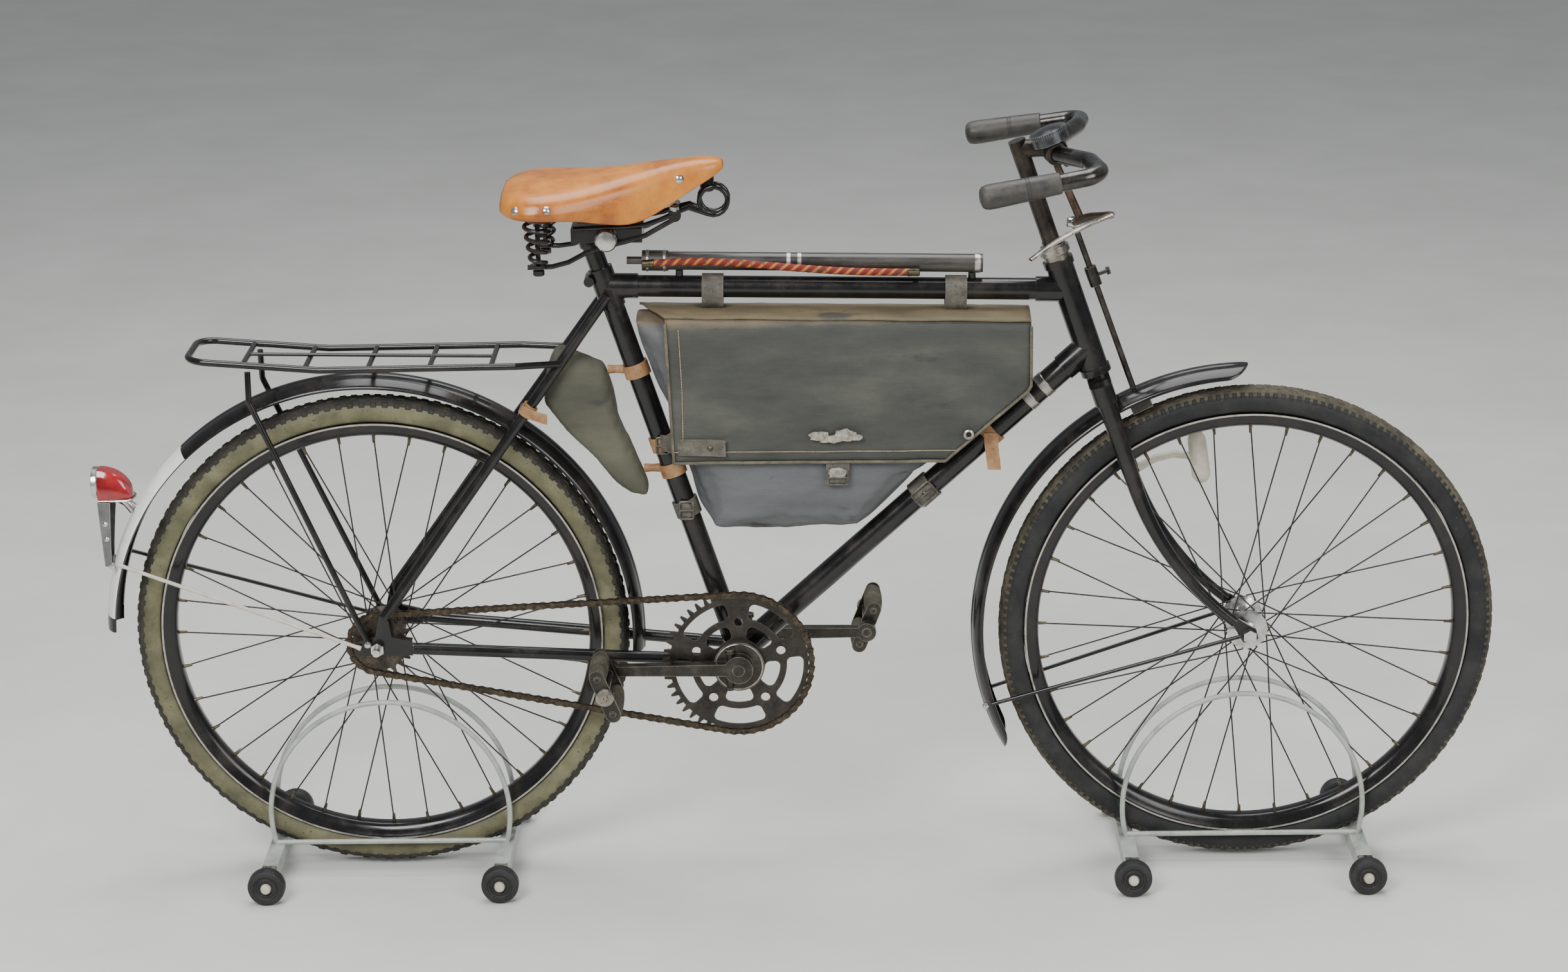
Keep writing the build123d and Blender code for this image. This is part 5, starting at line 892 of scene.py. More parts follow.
hide = piece("saddle_hide", [(hide_verts, grid_faces(len(HIDE) - 1, hide_columns), 0)], [saddle_hide],
             "frame", ["saddle_leather"], 80.0)
if hide.data.polygons[len(hide.data.polygons) // 2].normal.z < 0:
    hide.data.flip_normals()
rounded = hide.modifiers.new("moulded", "SUBSURF")
rounded.levels = 2
rounded.render_levels = 2
thicken(hide, 0.0045)
rivet_seats = []
rivet_sink = 0.0003
hide_now = hide.evaluated_get(bpy.context.evaluated_depsgraph_get())
for x, y, z in ((118.0, 30.0, 92.0), (-47.0, 104.0, 71.0), (-89.0, 92.0, 67.0), (-112.0, 36.0, 68.0)):
    for side in (-1, 1):
        _, spot, normal, _ = hide_now.closest_point_on_mesh(on_post(x, side * y, z))
        facing = Vector((0, 0, 1)).rotation_difference(normal)
        rivet_seats.append((spot - normal * rivet_sink, tuple(facing.to_euler())))
saddle_rivet = rod([(0, 0, 0), (0, 0, 0.0009), (0, 0, 0.0021), (0, 0, 0.0027)],
                   [0.0058, 0.0056, 0.0040, 0.0010], 14)
repeated("saddle_rivets", rivet_seats, saddle_rivet, bright_nickel, "frame")

# Pump: a dark lacquered brass tube with worn steel bands near its ends and its middle.
# It is held between two pegs brazed on the top tube.
pump_lacquer = surface("dark_pump_lacquer",
                       [(0.016, 0.014, 0.012), (0.030, 0.026, 0.022), (0.060, 0.050, 0.040)], 40.0,
                       (0.25, 0.5), (0.08, 0.0004), coat=0.2, stretch=(0.25, 1, 1),
                       worn=((0.16, 0.115, 0.065), 0.68))
coat_nodes(pump_lacquer, "pump")
coat_nodes(black_enamel, "pump_pegs")
seat_lug_x = 313.06
seat_lug_height = 475.0
top_tube_fall = 0.01998
pump_rise = 34.0


def over_top_tube(x, rise, y=0.0):
    """Point above the top tube's axis at a forward place, in millimetres."""
    return from_axle(x, y, seat_lug_height - top_tube_fall * (x - seat_lug_x) + rise)


band_shapes = []
for start, width, radius in ((366.0, 4.0, 0.0142), (388.0, 4.0, 0.0142), (548.0, 6.0, 0.0125),
                             (562.0, 6.0, 0.0125), (792.0, 8.0, 0.0128)):
    band_shapes.append(rod([over_top_tube(start + step, pump_rise)
                            for step in (0.0, 0.6, width - 0.6, width)],
                           [radius - 0.0006, radius, radius, radius - 0.0006], 24))
piece("pump_bands", band_shapes, [bare_steel], "frame")

# Pump hose: a thin rubber tube in a twisted cotton cover, orange, red and yellow, screwed into the pump's cap
# and lying along the pump's near side. A brass ferrule with an elbow holds each end to the pump.
hose_radius = 0.0045
hose_side = -18.3
hose_start = 366
hose_twist = 0.014
hose_twists_round = 2.0
hose_route = [(hose_start, 34), (424, 38.5), (488, 36), (548, 31), (606, 27), (662, 25), (716, 25.5)]
hose_curve = bpy.data.curves.new("hose_route", "CURVE")
hose_curve.dimensions = "3D"
hose_curve.resolution_u = 40
hose_spline = hose_curve.splines.new("NURBS")
hose_spline.points.add(len(hose_route) - 1)
for point, (x, rise) in zip(hose_spline.points, hose_route):
    point.co = (*over_top_tube(x, rise, hose_side), 1.0)
hose_spline.order_u = 3
hose_spline.use_endpoint_u = True
hose_line = placed("hose_route", hose_curve)
hose_path = [vert.co.copy() for vert in settled(hose_line).vertices]
bpy.data.objects.remove(hose_line)
hose_sides = 16
hose_verts, hose_faces, _ = rod(hose_path, hose_radius, hose_sides)
hose_lift = []
hose_travel = []
travel = 0.0
for place, point in enumerate(hose_path):
    if place:
        travel += (point - hose_path[place - 1]).length
    hose_travel.append(travel)
    for side in range(hose_sides):
        hose_lift.append((side / hose_sides * hose_twists_round + travel / hose_twist) % 1.0)
hose_verts = [vert + (vert - hose_path[index // hose_sides]).normalized() * 0.0005 * abs(sin(pi * 2 * lift))
              for index, (vert, lift) in enumerate(zip(hose_verts, hose_lift))]
hose_cotton = bpy.data.materials.new("twisted_cotton_cover")
hose_cotton.use_nodes = True
tree = hose_cotton.node_tree
shader = tree.nodes["Principled BSDF"]
shader.inputs["Roughness"].default_value = 0.78
twist = tree.nodes.new("ShaderNodeAttribute")
twist.attribute_name = "twist"
wave_colour = tree.nodes.new("ShaderNodeMath")
wave_colour.operation = "PINGPONG"
wave_colour.inputs[1].default_value = 0.5
tree.links.new(twist.outputs["Fac"], wave_colour.inputs[0])
stripes = tree.nodes.new("ShaderNodeValToRGB")
stripes.color_ramp.elements[0].color = (0.16, 0.006, 0.006, 1.0)
stripes.color_ramp.elements[0].position = 0.12
stripes.color_ramp.elements[1].color = (0.38, 0.17, 0.024, 1.0)
stripes.color_ramp.elements[1].position = 0.42
stripes.color_ramp.elements.new(0.28).color = (0.19, 0.011, 0.008, 1.0)
tree.links.new(wave_colour.outputs["Value"], stripes.inputs["Fac"])
dirt_place = tree.nodes.new("ShaderNodeTexCoord")
dirt = add(tree.nodes, "ShaderNodeTexNoise", Scale=160.0)
tree.links.new(dirt_place.outputs["Object"], dirt.inputs["Vector"])
soiled = add(tree.nodes, "ShaderNodeMapRange", From_Min=0.52, From_Max=0.74)
tree.links.new(dirt.outputs["Fac"], soiled.inputs["Value"])
grimy = blend(tree, stripes.outputs["Color"], (0.045, 0.025, 0.018), soiled.outputs["Result"])
tree.links.new(grimy, shader.inputs["Base Color"])
cotton_bump = add(tree.nodes, "ShaderNodeBump", Strength=0.5, Distance=0.0006)
tree.links.new(dirt.outputs["Fac"], cotton_bump.inputs["Height"])
tree.links.new(cotton_bump.outputs["Normal"], shader.inputs["Normal"])
hose = piece("pump_hose_cover", [(hose_verts, hose_faces, 0)], [hose_cotton], "frame",
             ["pump_hose"], 60.0)
twist_data = hose.data.attributes.new("twist", "FLOAT", "CORNER")
for polygon in hose.data.polygons:
    sides_met = [index % hose_sides for index in polygon.vertices]
    closes = 0 in sides_met and hose_sides - 1 in sides_met
    for corner, index, side in zip(polygon.loop_indices, polygon.vertices, sides_met):
        side += hose_sides if closes and side == 0 else 0
        turned = side / hose_sides * hose_twists_round
        twist_data.data[corner].value = turned + hose_travel[index // hose_sides] / hose_twist
# Ferrule: place from the hose's end, radius
FERRULE = ((-5.0, 3.0), (-4.4, 4.4), (-3.0, 5.2), (8.0, 5.2), (8.6, 5.6), (10.4, 5.6), (11.0, 5.0))
ferrule_shapes = []
for end, inner in ((hose_path[0], hose_path[6]), (hose_path[-1], hose_path[-7])):
    along = (inner - end).normalized()
    ferrule_shapes.append(profiled(FERRULE, lambda place: end + along * place / 1000.0, 18))
    ferrule_shapes.append(rod([end + Vector((0.0, step, 0.0)) for step in (0.0, 0.004, 0.0085)],
                              [0.0040, 0.0036, 0.0036], 14))
ferrules = piece("hose_ferrules", ferrule_shapes, [nipple_brass], "frame")

# Frame bag: a box of proofed canvas that fills the main triangle, weathered grey-green, bluish low down.
# It bulges between its seams and hangs from the top tube by two straps.
def canvas(name, shades, weave=900.0, stain=0.60, dark=(0.035, 0.037, 0.032), fold=None):
    """Woven cloth: two crossed bands of thread under weathered colour, worn pale along a fold."""
    material = surface(name, shades, 9.0, (0.62, 0.88), (0.0, 0.0004), stretch=(0.45, 1.0, 1.4),
                       worn=(dark, stain), fine=2.6)
    nodes = material.node_tree.nodes
    links = material.node_tree.links
    place = nodes["Texture Coordinate"]
    threads = []
    for direction in ("X", "Z"):
        thread = add(nodes, "ShaderNodeTexWave", Scale=weave / 6.28, Distortion=1.2, Detail=1.0)
        thread.bands_direction = direction
        links.new(place.outputs["Object"], thread.inputs["Vector"])
        threads.append(thread)
    crossing = nodes.new("ShaderNodeMath")
    crossing.operation = "MULTIPLY"
    links.new(threads[0].outputs["Fac"], crossing.inputs[0])
    links.new(threads[1].outputs["Fac"], crossing.inputs[1])
    bump = nodes["Bump"]
    bump.inputs["Strength"].default_value = 0.45
    links.new(crossing.outputs["Value"], bump.inputs["Height"])
    if fold:
        height = nodes.new("ShaderNodeSeparateXYZ")
        links.new(place.outputs["Object"], height.inputs["Vector"])
        ragged = nodes.new("ShaderNodeMath")
        ragged.operation = "MULTIPLY_ADD"
        ragged.inputs[1].default_value = 0.045
        links.new(nodes["Noise Texture"].outputs["Fac"], ragged.inputs[0])
        links.new(height.outputs["Z"], ragged.inputs[2])
        near = add(nodes, "ShaderNodeMapRange", From_Min=fold[0], From_Max=fold[1])
        links.new(ragged.outputs["Value"], near.inputs["Value"])
        base = nodes["Principled BSDF"].inputs["Base Color"]
        links.new(blend(material.node_tree, base.links[0].from_socket, fold[2], near.outputs["Result"]), base)
    return material


bag_voxel = 0.006
bag_pressure = 4.0
blow_frames = 14


def swollen(name, outline, half, materials, stands_for, cap, inset):
    """Stuffed bag from a side outline: a prism, remeshed and blown up as cloth, held to a short way."""
    middle = Vector((sum(x for x, _ in outline) / len(outline), sum(z for _, z in outline) / len(outline)))
    drawn = []
    for x, z in outline:
        away = Vector((x, z)) - middle
        drawn.append(middle + away * (1.0 - inset / away.length))
    rims = [[from_axle(spot.x, side * (half - inset), spot.y) for spot in drawn] for side in (-1, 1)]
    made = piece(name, [prism(*rims)], materials, "frame", stands_for, 80.0)
    grid = made.modifiers.new("grid", "REMESH")
    grid.mode = "VOXEL"
    grid.voxel_size = bag_voxel
    start = settled(made)
    made.modifiers.clear()
    made.data = start
    before = [vert.co.copy() for vert in start.vertices]
    cloth = made.modifiers.new("blown", "CLOTH")
    cloth.settings.use_pressure = True
    cloth.settings.uniform_pressure_force = bag_pressure
    cloth.settings.effector_weights.gravity = 0.0
    cloth.settings.quality = 4
    for step in range(1, blow_frames + 1):
        bpy.context.scene.frame_set(step)
    after = [vert.co.copy() for vert in settled(made).vertices]
    made.modifiers.clear()
    bpy.context.scene.frame_set(1)
    for vert, old, new in zip(start.vertices, before, after):
        move = new - old
        vert.co = old + move * min(1.0, cap / max(move.length, 1e-9))
    for vert in start.vertices:
        spot = vert.co * 1000.0
        wave = noise.noise(Vector((spot.x / 70.0, spot.y / 40.0, spot.z / 55.0)))
        fold = noise.noise(Vector((spot.x / 24.0, spot.y / 30.0, spot.z / 60.0)))
        vert.co += vert.normal * (0.0028 * wave + 0.0011 * fold)
    start.materials.clear()
    for material in materials:
        start.materials.append(material)
    start.shade_smooth()
    rounded = made.modifiers.new("smooth", "SUBSURF")
    rounded.levels = 1
    rounded.render_levels = 1
    return made


bag_canvas = canvas("weathered_bag_canvas",
                    [(0.066, 0.069, 0.072), (0.105, 0.109, 0.113), (0.150, 0.153, 0.152)], stain=0.66,
                    fold=(0.786, 0.796, (0.155, 0.120, 0.075)))
# Side outline of the bag: forward place, height
BAG = ((346.0, 441.0), (862.0, 431.0), (862.0, 350.0), (641.0, 146.0), (620.0, 142.0), (446.0, 143.0),
       (441.0, 150.0))
swollen("frame_bag_canvas", BAG, 39.0, [bag_canvas], ["frame_bag_body"], 0.007, 4.0)

# Bag flap: a second canvas hanging down the near side from a worn tan fold at the top, bound along its edges
# and stitched, its lower edge loose. A tan canvas lies over the top of the bag, from the fold to
# the far side.
flap_canvas = canvas("flap_canvas", [(0.028, 0.030, 0.026), (0.056, 0.058, 0.049), (0.100, 0.101, 0.082)],
                     stain=0.655, fold=(0.786, 0.800, (0.20, 0.150, 0.090)))
flap_back = 390.0
flap_front = 864.0
flap_top = 442.0
flap_drop = 195.0
cut_height = 348.0
bag_fall = 9.5
flap_columns = 56
flap_rows = 26
flap_verts = []
for row in range(flap_rows + 1):
    down = row / flap_rows
    for column in range(flap_columns + 1):
        along = column / flap_columns
        z = flap_top - flap_drop * down
        left = flap_back + 8.0 * down
        right = flap_front if z > cut_height else flap_front - (cut_height - z) / 0.9042
        x = left + (right - left) * along
        z -= bag_fall * along * (1.0 - 0.9 * down)
        lift = 2.6 + 5.0 * sin(pi * along) * sin(pi * min(down * 0.95 + 0.05, 1.0)) + 2.4 * down**2
        lift += (1.8 * noise.noise(Vector((x / 55.0, z / 70.0, 2.0)))
                 + 0.8 * noise.noise(Vector((x / 20.0, z / 34.0, 5.0))))
        round_over = 6.5 * max(0.0, 1.0 - down / 0.07) ** 2
        flap_verts.append(from_axle(x, -(44.0 + lift - round_over), z))
flap = piece("bag_flap_canvas", [(flap_verts, grid_faces(flap_rows, flap_columns), 0)], [flap_canvas],
             "frame", ["frame_bag_flap"], 80.0)
if flap.data.polygons[0].normal.y > 0:
    flap.data.flip_normals()
cloth_thickness = 0.0022
thicken(flap, cloth_thickness)
top_canvas = canvas("tan_top_canvas", [(0.085, 0.070, 0.040), (0.145, 0.112, 0.062), (0.210, 0.165, 0.098)],
                    stain=0.62, dark=(0.055, 0.055, 0.040))
top_columns = 48
top_rows = 12
top_back = 354.0
slant = 36.0
bag_half = 44.0
top_verts = []
for row in range(top_rows + 1):
    across = row / top_rows
    y = bag_half - 2 * bag_half * across
    for column in range(top_columns + 1):
        along = column / top_columns
        x = top_back + slant * across**2 + (flap_front - top_back - slant * across**2) * along
        z = 442.6 - bag_fall * along + 5.5 * sin(pi * across) ** 0.8 - 4.0 * (1.0 - across) ** 6
        z += (1.3 * noise.noise(Vector((x / 60.0, y / 26.0, 8.0)))
              + 0.7 * noise.noise(Vector((x / 18.0, y / 14.0, 9.0))))
        top_verts.append(from_axle(x, y, z))
bag_top = piece("bag_top_canvas", [(top_verts, grid_faces(top_rows, top_columns), 0)], [top_canvas], "frame",
                (), 80.0)
if bag_top.data.polygons[0].normal.z < 0:
    bag_top.data.flip_normals()
thicken(bag_top, cloth_thickness)


def flap_point(row, column):
    """Corner of the flap's grid."""
    return Vector(flap_verts[row * (flap_columns + 1) + column])


edge_binding = surface("edge_binding_tape",
                       [(0.060, 0.058, 0.042), (0.11, 0.10, 0.070), (0.19, 0.155, 0.10)], 40.0, (0.7, 0.9),
                       (0.35, 0.0006), worn=((0.25, 0.18, 0.105), 0.64))
outward = Vector((0, -0.0006, 0))
binding_lines = [[flap_point(row, 0) for row in range(1, flap_rows + 1)],
                 [flap_point(flap_rows, column) for column in range(flap_columns + 1)],
                 [flap_point(row, flap_columns) for row in range(1, flap_rows + 1)]]
piece("flap_binding", [rod([spot + outward for spot in line], 0.0021, 8) for line in binding_lines],
      [edge_binding], "frame")
stitch_seats = []
stitch_out = Vector((0, -0.0008, 0))
stitch_shares = (0.25, 0.75)
for column in range(flap_columns):
    start = flap_point(flap_rows - 2, column)
    end = flap_point(flap_rows - 2, column + 1)
    run = end - start
    for share in stitch_shares:
        stitch_seats.append((start.lerp(end, share) + stitch_out, (0.0, -atan2(run.z, run.x), 0.0)))
for row in range(2, flap_rows - 2):
    for share in stitch_shares:
        spot = flap_point(row, 2).lerp(flap_point(row + 1, 2), share)
        stitch_seats.append((spot + stitch_out, (0.0, pi / 2, 0.0)))
stitch_shape = rod([(-0.0021, 0, 0), (-0.0012, 0, 0), (0.0012, 0, 0), (0.0021, 0, 0)],
                   [0.0003, 0.0008, 0.0008, 0.0003], 6)
flap_thread = surface("tan_thread", [(0.22, 0.17, 0.10), (0.30, 0.24, 0.15), (0.38, 0.31, 0.20)], 200.0,
                      (0.7, 0.9), (0.2, 0.0002))
repeated("flap_stitches", stitch_seats, stitch_shape, flap_thread, "frame")

# Bag straps: tan and grey leather straps, looped round the tubes and sewn to the bag.
# A tab holds the flap's corner to the seat tube and a loose end hangs from the down tube.
strap_tan = surface("tan_strap_leather", [(0.22, 0.105, 0.042), (0.33, 0.175, 0.078), (0.43, 0.25, 0.125)],
                    60.0, (0.45, 0.7), (0.35, 0.0007), worn=((0.12, 0.062, 0.030), 0.62),
                    edge=(0.46, 0.32, 0.18))
strap_grey = surface("grey_strap_leather",
                     [(0.055, 0.052, 0.044), (0.095, 0.088, 0.070), (0.15, 0.135, 0.105)], 60.0,
                     (0.55, 0.8), (0.35, 0.0007), worn=((0.03, 0.027, 0.022), 0.60),
                     edge=(0.24, 0.20, 0.15))
loop_steps = 40
STRAP_EDGES = ((0, 1), (1, 3), (3, 2), (2, 0))


def strap_loop(centre, along, side_dir, radius, width, thickness, number, drop=0.0):
    """Flat strap closed round a tube, with its two legs drawn down by a distance."""
    lift = side_dir.cross(along).normalized()
    lift = lift if lift.z > 0 else -lift
    verts = []
    faces = []
    for step in range(loop_steps):
        turn = 2 * pi * step / loop_steps
        low = -drop if sin(turn) < -0.2 else 0.0
        for reach in (radius, radius + thickness):
            for across in (-0.5, 0.5):
                spot = centre + side_dir * reach * cos(turn) + lift * (reach * sin(turn) + low)
                verts.append(spot + along * across * width)
        base = 4 * step
        after = 4 * ((step + 1) % loop_steps)
        faces += [(base + first, base + second, after + second, after + first)
                  for first, second in STRAP_EDGES]
    return verts, faces, number


axle_dir = Vector((0.0, 1.0, 0.0))
top_dir = Vector((0.9998, 0.0, -0.01998))
seat_dir = Vector((-0.30902, 0.0, 0.95106))
thin_tube = 0.0147
down_tube = 0.0163
stay_tube = 0.0074
seat_tube_slope = 3.0777


def seat_tube_x(height):
    """Forward place of the seat tube's axis at a height."""
    return bracket_axis_x - (height - bracket_axis_z) / seat_tube_slope


strap_shapes = [strap_loop(over_top_tube(x, 0.0), top_dir, axle_dir, thin_tube, 0.028, 0.0026, 1, 0.012)
                for x in (452.0, 768.0)]
seat_spot = from_axle(seat_tube_x(262.0), 0.0, 262.0)
strap_shapes.append(strap_loop(seat_spot, seat_dir, axle_dir, thin_tube, 0.020, 0.0028, 0))
low_spot = from_axle(seat_tube_x(172.0), 0.0, 172.0)
strap_shapes.append(strap_loop(low_spot, seat_dir, axle_dir, thin_tube, 0.022, 0.0026, 1))
down_strap = down_start + down_dir * 335.0
down_spot = from_axle(*down_strap)
strap_shapes.append(strap_loop(down_spot, down_dir, axle_dir, down_tube, 0.028, 0.0028, 1))


def strip(points, across, width, thickness, number):
    """Flat strap laid along points, standing off to the near side, its ends closed."""
    verts = []
    faces = []
    for place, spot in enumerate(points):
        ahead = points[min(place + 1, len(points) - 1)] - points[max(place - 1, 0)]
        out = ahead.cross(across).normalized()
        out = out if out.y < 0 else -out
        for reach in (0.0, thickness):
            for share in (-0.5, 0.5):
                verts.append(spot + out * reach + across * share * width)
    for place in range(len(points) - 1):
        base = 4 * place
        faces += [(base + first, base + second, base + 4 + second, base + 4 + first)
                  for first, second in STRAP_EDGES]
    last = len(verts) - 4
    faces += [(0, 1, 3, 2), (last, last + 1, last + 3, last + 2)]
    return verts, faces, number


upward = Vector((0.0, 0.0, 1.0))
forward = Vector((1.0, 0.0, 0.0))
TAB = ((381.0, -18.0, 266.0), (390.0, -26.0, 267.0), (398.0, -39.0, 268.0), (406.0, -48.5, 268.5),
       (424.0, -51.5, 269.0), (446.0, -53.0, 269.0), (466.0, -54.0, 268.0))
strap_shapes.append(strip([from_axle(*spot) for spot in TAB], upward, 0.022, 0.0026, 1))
MIDDLE_END = ((-44.5, 252.0), (-47.5, 240.0), (-48.0, 228.0), (-47.5, 216.0))
strap_shapes.append(strip([from_axle(612.0, y, z) for y, z in MIDDLE_END], forward, 0.030, 0.0026, 1))
loop_spot = from_axle(*(down_start + down_dir * 452.0))
strap_shapes.append(strap_loop(loop_spot, down_dir, axle_dir, down_tube, 0.017, 0.0024, 0))
LOOSE_END = ((0, -18.5, 4), (1, -19.5, -12), (3, -19, -28), (5, -17.5, -46))
loose_line = [loop_spot + Vector(step) / 1000.0 for step in LOOSE_END]
strap_shapes.append(strip(loose_line, forward, 0.018, 0.0024, 0))
stay_spot = from_axle(208.7, -37.5, 318.3)
stay_dir = Vector((305.65, 39.2, 425.0)).normalized()
strap_shapes.append(strap_loop(stay_spot, stay_dir, axle_dir, stay_tube, 0.016, 0.0026, 0))
STAY_END = ((-6, -9, 2), (4, -12, -2), (16, -9, -8), (24, -4, -12))
stay_line = [stay_spot + Vector(step) / 1000.0 for step in STAY_END]
strap_shapes.append(strip(stay_line, upward, 0.014, 0.0024, 0))
piece("bag_strap_leather", strap_shapes, [strap_tan, strap_grey], "frame", ["bag_straps"],
      40.0)

# Torn patch: ragged scraps of pale leather, once the seat of the flap's middle buckle.
# They are still sewn to the flap's canvas and to the strap end below it.
scrap_leather = surface("torn_scrap_leather", [(0.16, 0.14, 0.105), (0.34, 0.31, 0.25), (0.50, 0.47, 0.40)],
                        160.0, (0.7, 0.9), (0.5, 0.0009), worn=((0.07, 0.062, 0.05), 0.58))
# Scraps: forward place, height, half width, half height, seed of the ragged edge
SCRAPS = ((588.0, 284.0, 13.0, 6.0, 1.0), (604.0, 280.0, 17.0, 5.0, 2.0), (622.0, 285.0, 14.0, 8.0, 3.0),
          (636.0, 282.0, 9.0, 4.0, 4.0), (612.0, 232.0, 12.0, 7.0, 5.0))
scrap_corners = 18
scrap_shapes = []
for x, z, wide, tall, seed in SCRAPS:
    rim = []
    for step in range(scrap_corners):
        turn = 2 * pi * step / scrap_corners
        ragged = 1.0 + 0.42 * noise.noise(Vector((2.1 * cos(turn), 2.1 * sin(turn), seed)))
        rim.append((x + wide * ragged * cos(turn), z + tall * ragged * sin(turn)))
    depth = -50.0 if z < 240.0 else -55.4
    scrap_shapes.append(prism(*[[from_axle(px, depth + step, pz) for px, pz in rim]
                                for step in (0.0, -1.4 - 0.35 * seed)]))
piece("torn_buckle_patch", scrap_shapes, [scrap_leather], "frame")

# Buckles and studs: small buckles of dull iron wire sewn into the straps, brass studs through the tab and the
# down tube's strap, and a steel eyelet clenched in the flap.
buckle_corner = 0.003


def buckle(centre, right, up, wide, tall):
    """Wire buckle frame with rounded corners and a middle tongue."""
    out = right.cross(up).normalized()
    half_wide = wide / 2 - buckle_corner
    half_tall = tall / 2 - buckle_corner
    frame_line = []
    for corner_x, corner_z, start in ((1, 1, 0.0), (-1, 1, 0.5), (-1, -1, 1.0), (1, -1, 1.5)):
        for step in range(4):
            turn = pi * (start + step / 6.0)
            frame_line.append(centre + right * (corner_x * half_wide + buckle_corner * cos(turn))
                              + up * (corner_z * half_tall + buckle_corner * sin(turn)))
    frame_line += frame_line[:2]
    tongue = [centre + right * wide * share + out * 0.0014 for share in (-0.5, -0.2, 0.2, 0.52)]
    return [rod(frame_line, 0.0014, 8), rod(tongue, 0.0011, 8)]


dull_iron = surface("dull_buckle_iron", [(0.075, 0.070, 0.058), (0.14, 0.13, 0.11), (0.23, 0.215, 0.185)],
                    120.0, (0.35, 0.6), (0.2, 0.0003), metallic=0.75, worn=((0.09, 0.060, 0.036), 0.62))
buckle_shapes = buckle(from_axle(612.0, -51.8, 226.0), forward, upward, 0.026, 0.020)
buckle_shapes += buckle(seat_spot + Vector((0.0, -0.0192, 0.0)), forward, upward, 0.016, 0.022)
buckle_shapes += buckle(low_spot + Vector((0.0, -0.0188, 0.0)), forward, upward, 0.018, 0.024)
buckle_shapes += buckle(down_spot + Vector((0.0, -0.0206, 0.0)), down_dir, Vector((-0.6707, 0, 0.7417)),
                        0.030, 0.022)
piece("bag_buckles", buckle_shapes, [dull_iron], "frame")
eyelet_line = circle(783.0, -53.6, 283.0, 5.2, 12)
piece("flap_eyelet", [rod(eyelet_line, 0.0019, 8)], [bare_steel], "frame")
stud_places = (from_axle(446.0, -56.0, 269.0), from_axle(*(down_strap + Vector((0, -19.4, 0)))))
repeated("strap_studs", [(place, (radians(90.0), 0, 0)) for place in stud_places], rivet_dome, nipple_brass,
         "frame")

# Tool pouch: a soft stuffed pouch of olive canvas behind the seat tube.
# Two short tan leather straps round the tube hold it.
pouch_cloth = canvas("olive_pouch_canvas",
                     [(0.050, 0.050, 0.034), (0.080, 0.080, 0.054), (0.115, 0.112, 0.076)], stain=0.68)


def pouch_spot(back, height):
    """Point of the pouch's outline from its front edge along the seat tube."""
    return (seat_tube_x(height) - 36.0 + back, height)


# Outline of the pouch: place behind its front edge, height
POUCH = ((-58.0, 398.0), (-84.0, 362.0), (-103.0, 322.0), (-92.0, 290.0), (-46.0, 208.0), (-30.0, 192.0),
         (-8.0, 187.0), (-2.0, 202.0), (-2.0, 376.0))
swollen("tool_pouch_canvas", [pouch_spot(back, height) for back, height in POUCH], 20.0, [pouch_cloth],
        ["tool_pouch"], 0.006, 3.0)
pouch_shapes = []
for height in (362.0, 226.0):
    spot = from_axle(seat_tube_x(height), 0.0, height)
    pouch_shapes.append(strap_loop(spot, seat_dir, axle_dir, thin_tube, 0.018, 0.0026, 0))
    tab = [spot + Vector((back, 0, 0)) for back in (-0.017, -0.026, -0.038)]
    pouch_shapes.append(rod(tab, [0.006, 0.0052, 0.006], 10, 0))
piece("pouch_strap_leather", pouch_shapes, [strap_tan], "frame", ["pouch_straps"], 40.0)

# Fork, headset and stem: the fork and its crown are enamelled like the frame, the headset nut is worn nickel
# and the stem has gone a dark brown. The handlebar's plating has darkened; the stem clamps it.
stem_brown = surface("dark_brown_stem",
                     [(0.014, 0.011, 0.009), (0.028, 0.021, 0.016), (0.060, 0.046, 0.034)], 40.0,
                     (0.22, 0.5), (0.12, 0.0005), metallic=0.5, worn=((0.11, 0.085, 0.060), 0.69),
                     edge=(0.22, 0.18, 0.13))
dark_chrome = surface("dark_bar_plating",
                      [(0.035, 0.033, 0.030), (0.075, 0.071, 0.065), (0.15, 0.143, 0.13)], 30.0,
                      (0.12, 0.34), (0.08, 0.0004), metallic=0.9, worn=((0.060, 0.042, 0.028), 0.66),
                      edge=(0.34, 0.32, 0.29))
coat_nodes(black_enamel, "fork")
coat_nodes(worn_nickel, "headset")
coat_nodes(stem_brown, "stem")
coat_nodes(dark_chrome, "handlebar")

# Grips: smooth moulded rubber sleeves, dark grey-brown, with a double ring line and a rounded end.
# Each is pushed over an end of the handlebar.
grip_rubber = surface("grip_rubber", [(0.020, 0.018, 0.016), (0.037, 0.034, 0.029), (0.064, 0.059, 0.049)],
                      50.0, (0.38, 0.62), (0.25, 0.0006), worn=((0.15, 0.125, 0.075), 0.68))
bar_middle = Vector((894.2, 0.0, 649.9))
# Grip: place from its end, radius
GRIP = ((-6.2, 4.6), (-5.8, 5.0), (-5.6, 7.6), (-4.2, 11.6), (-1.2, 14.3), (4.0, 15.6), (14.0, 15.9),
        (30.0, 15.5), (48.0, 15.0), (51.6, 14.9), (52.1, 14.3), (53.0, 14.3), (53.5, 14.9), (55.0, 14.9),
        (55.5, 14.3), (56.4, 14.3), (56.9, 14.8), (72.0, 14.3), (90.0, 13.8), (95.0, 13.6), (96.0, 12.4))


def along_axis(start, axis):
    """Function that gives the point at a distance along an axis, in millimetres."""
    return lambda place: from_axle(*(start + axis * place))


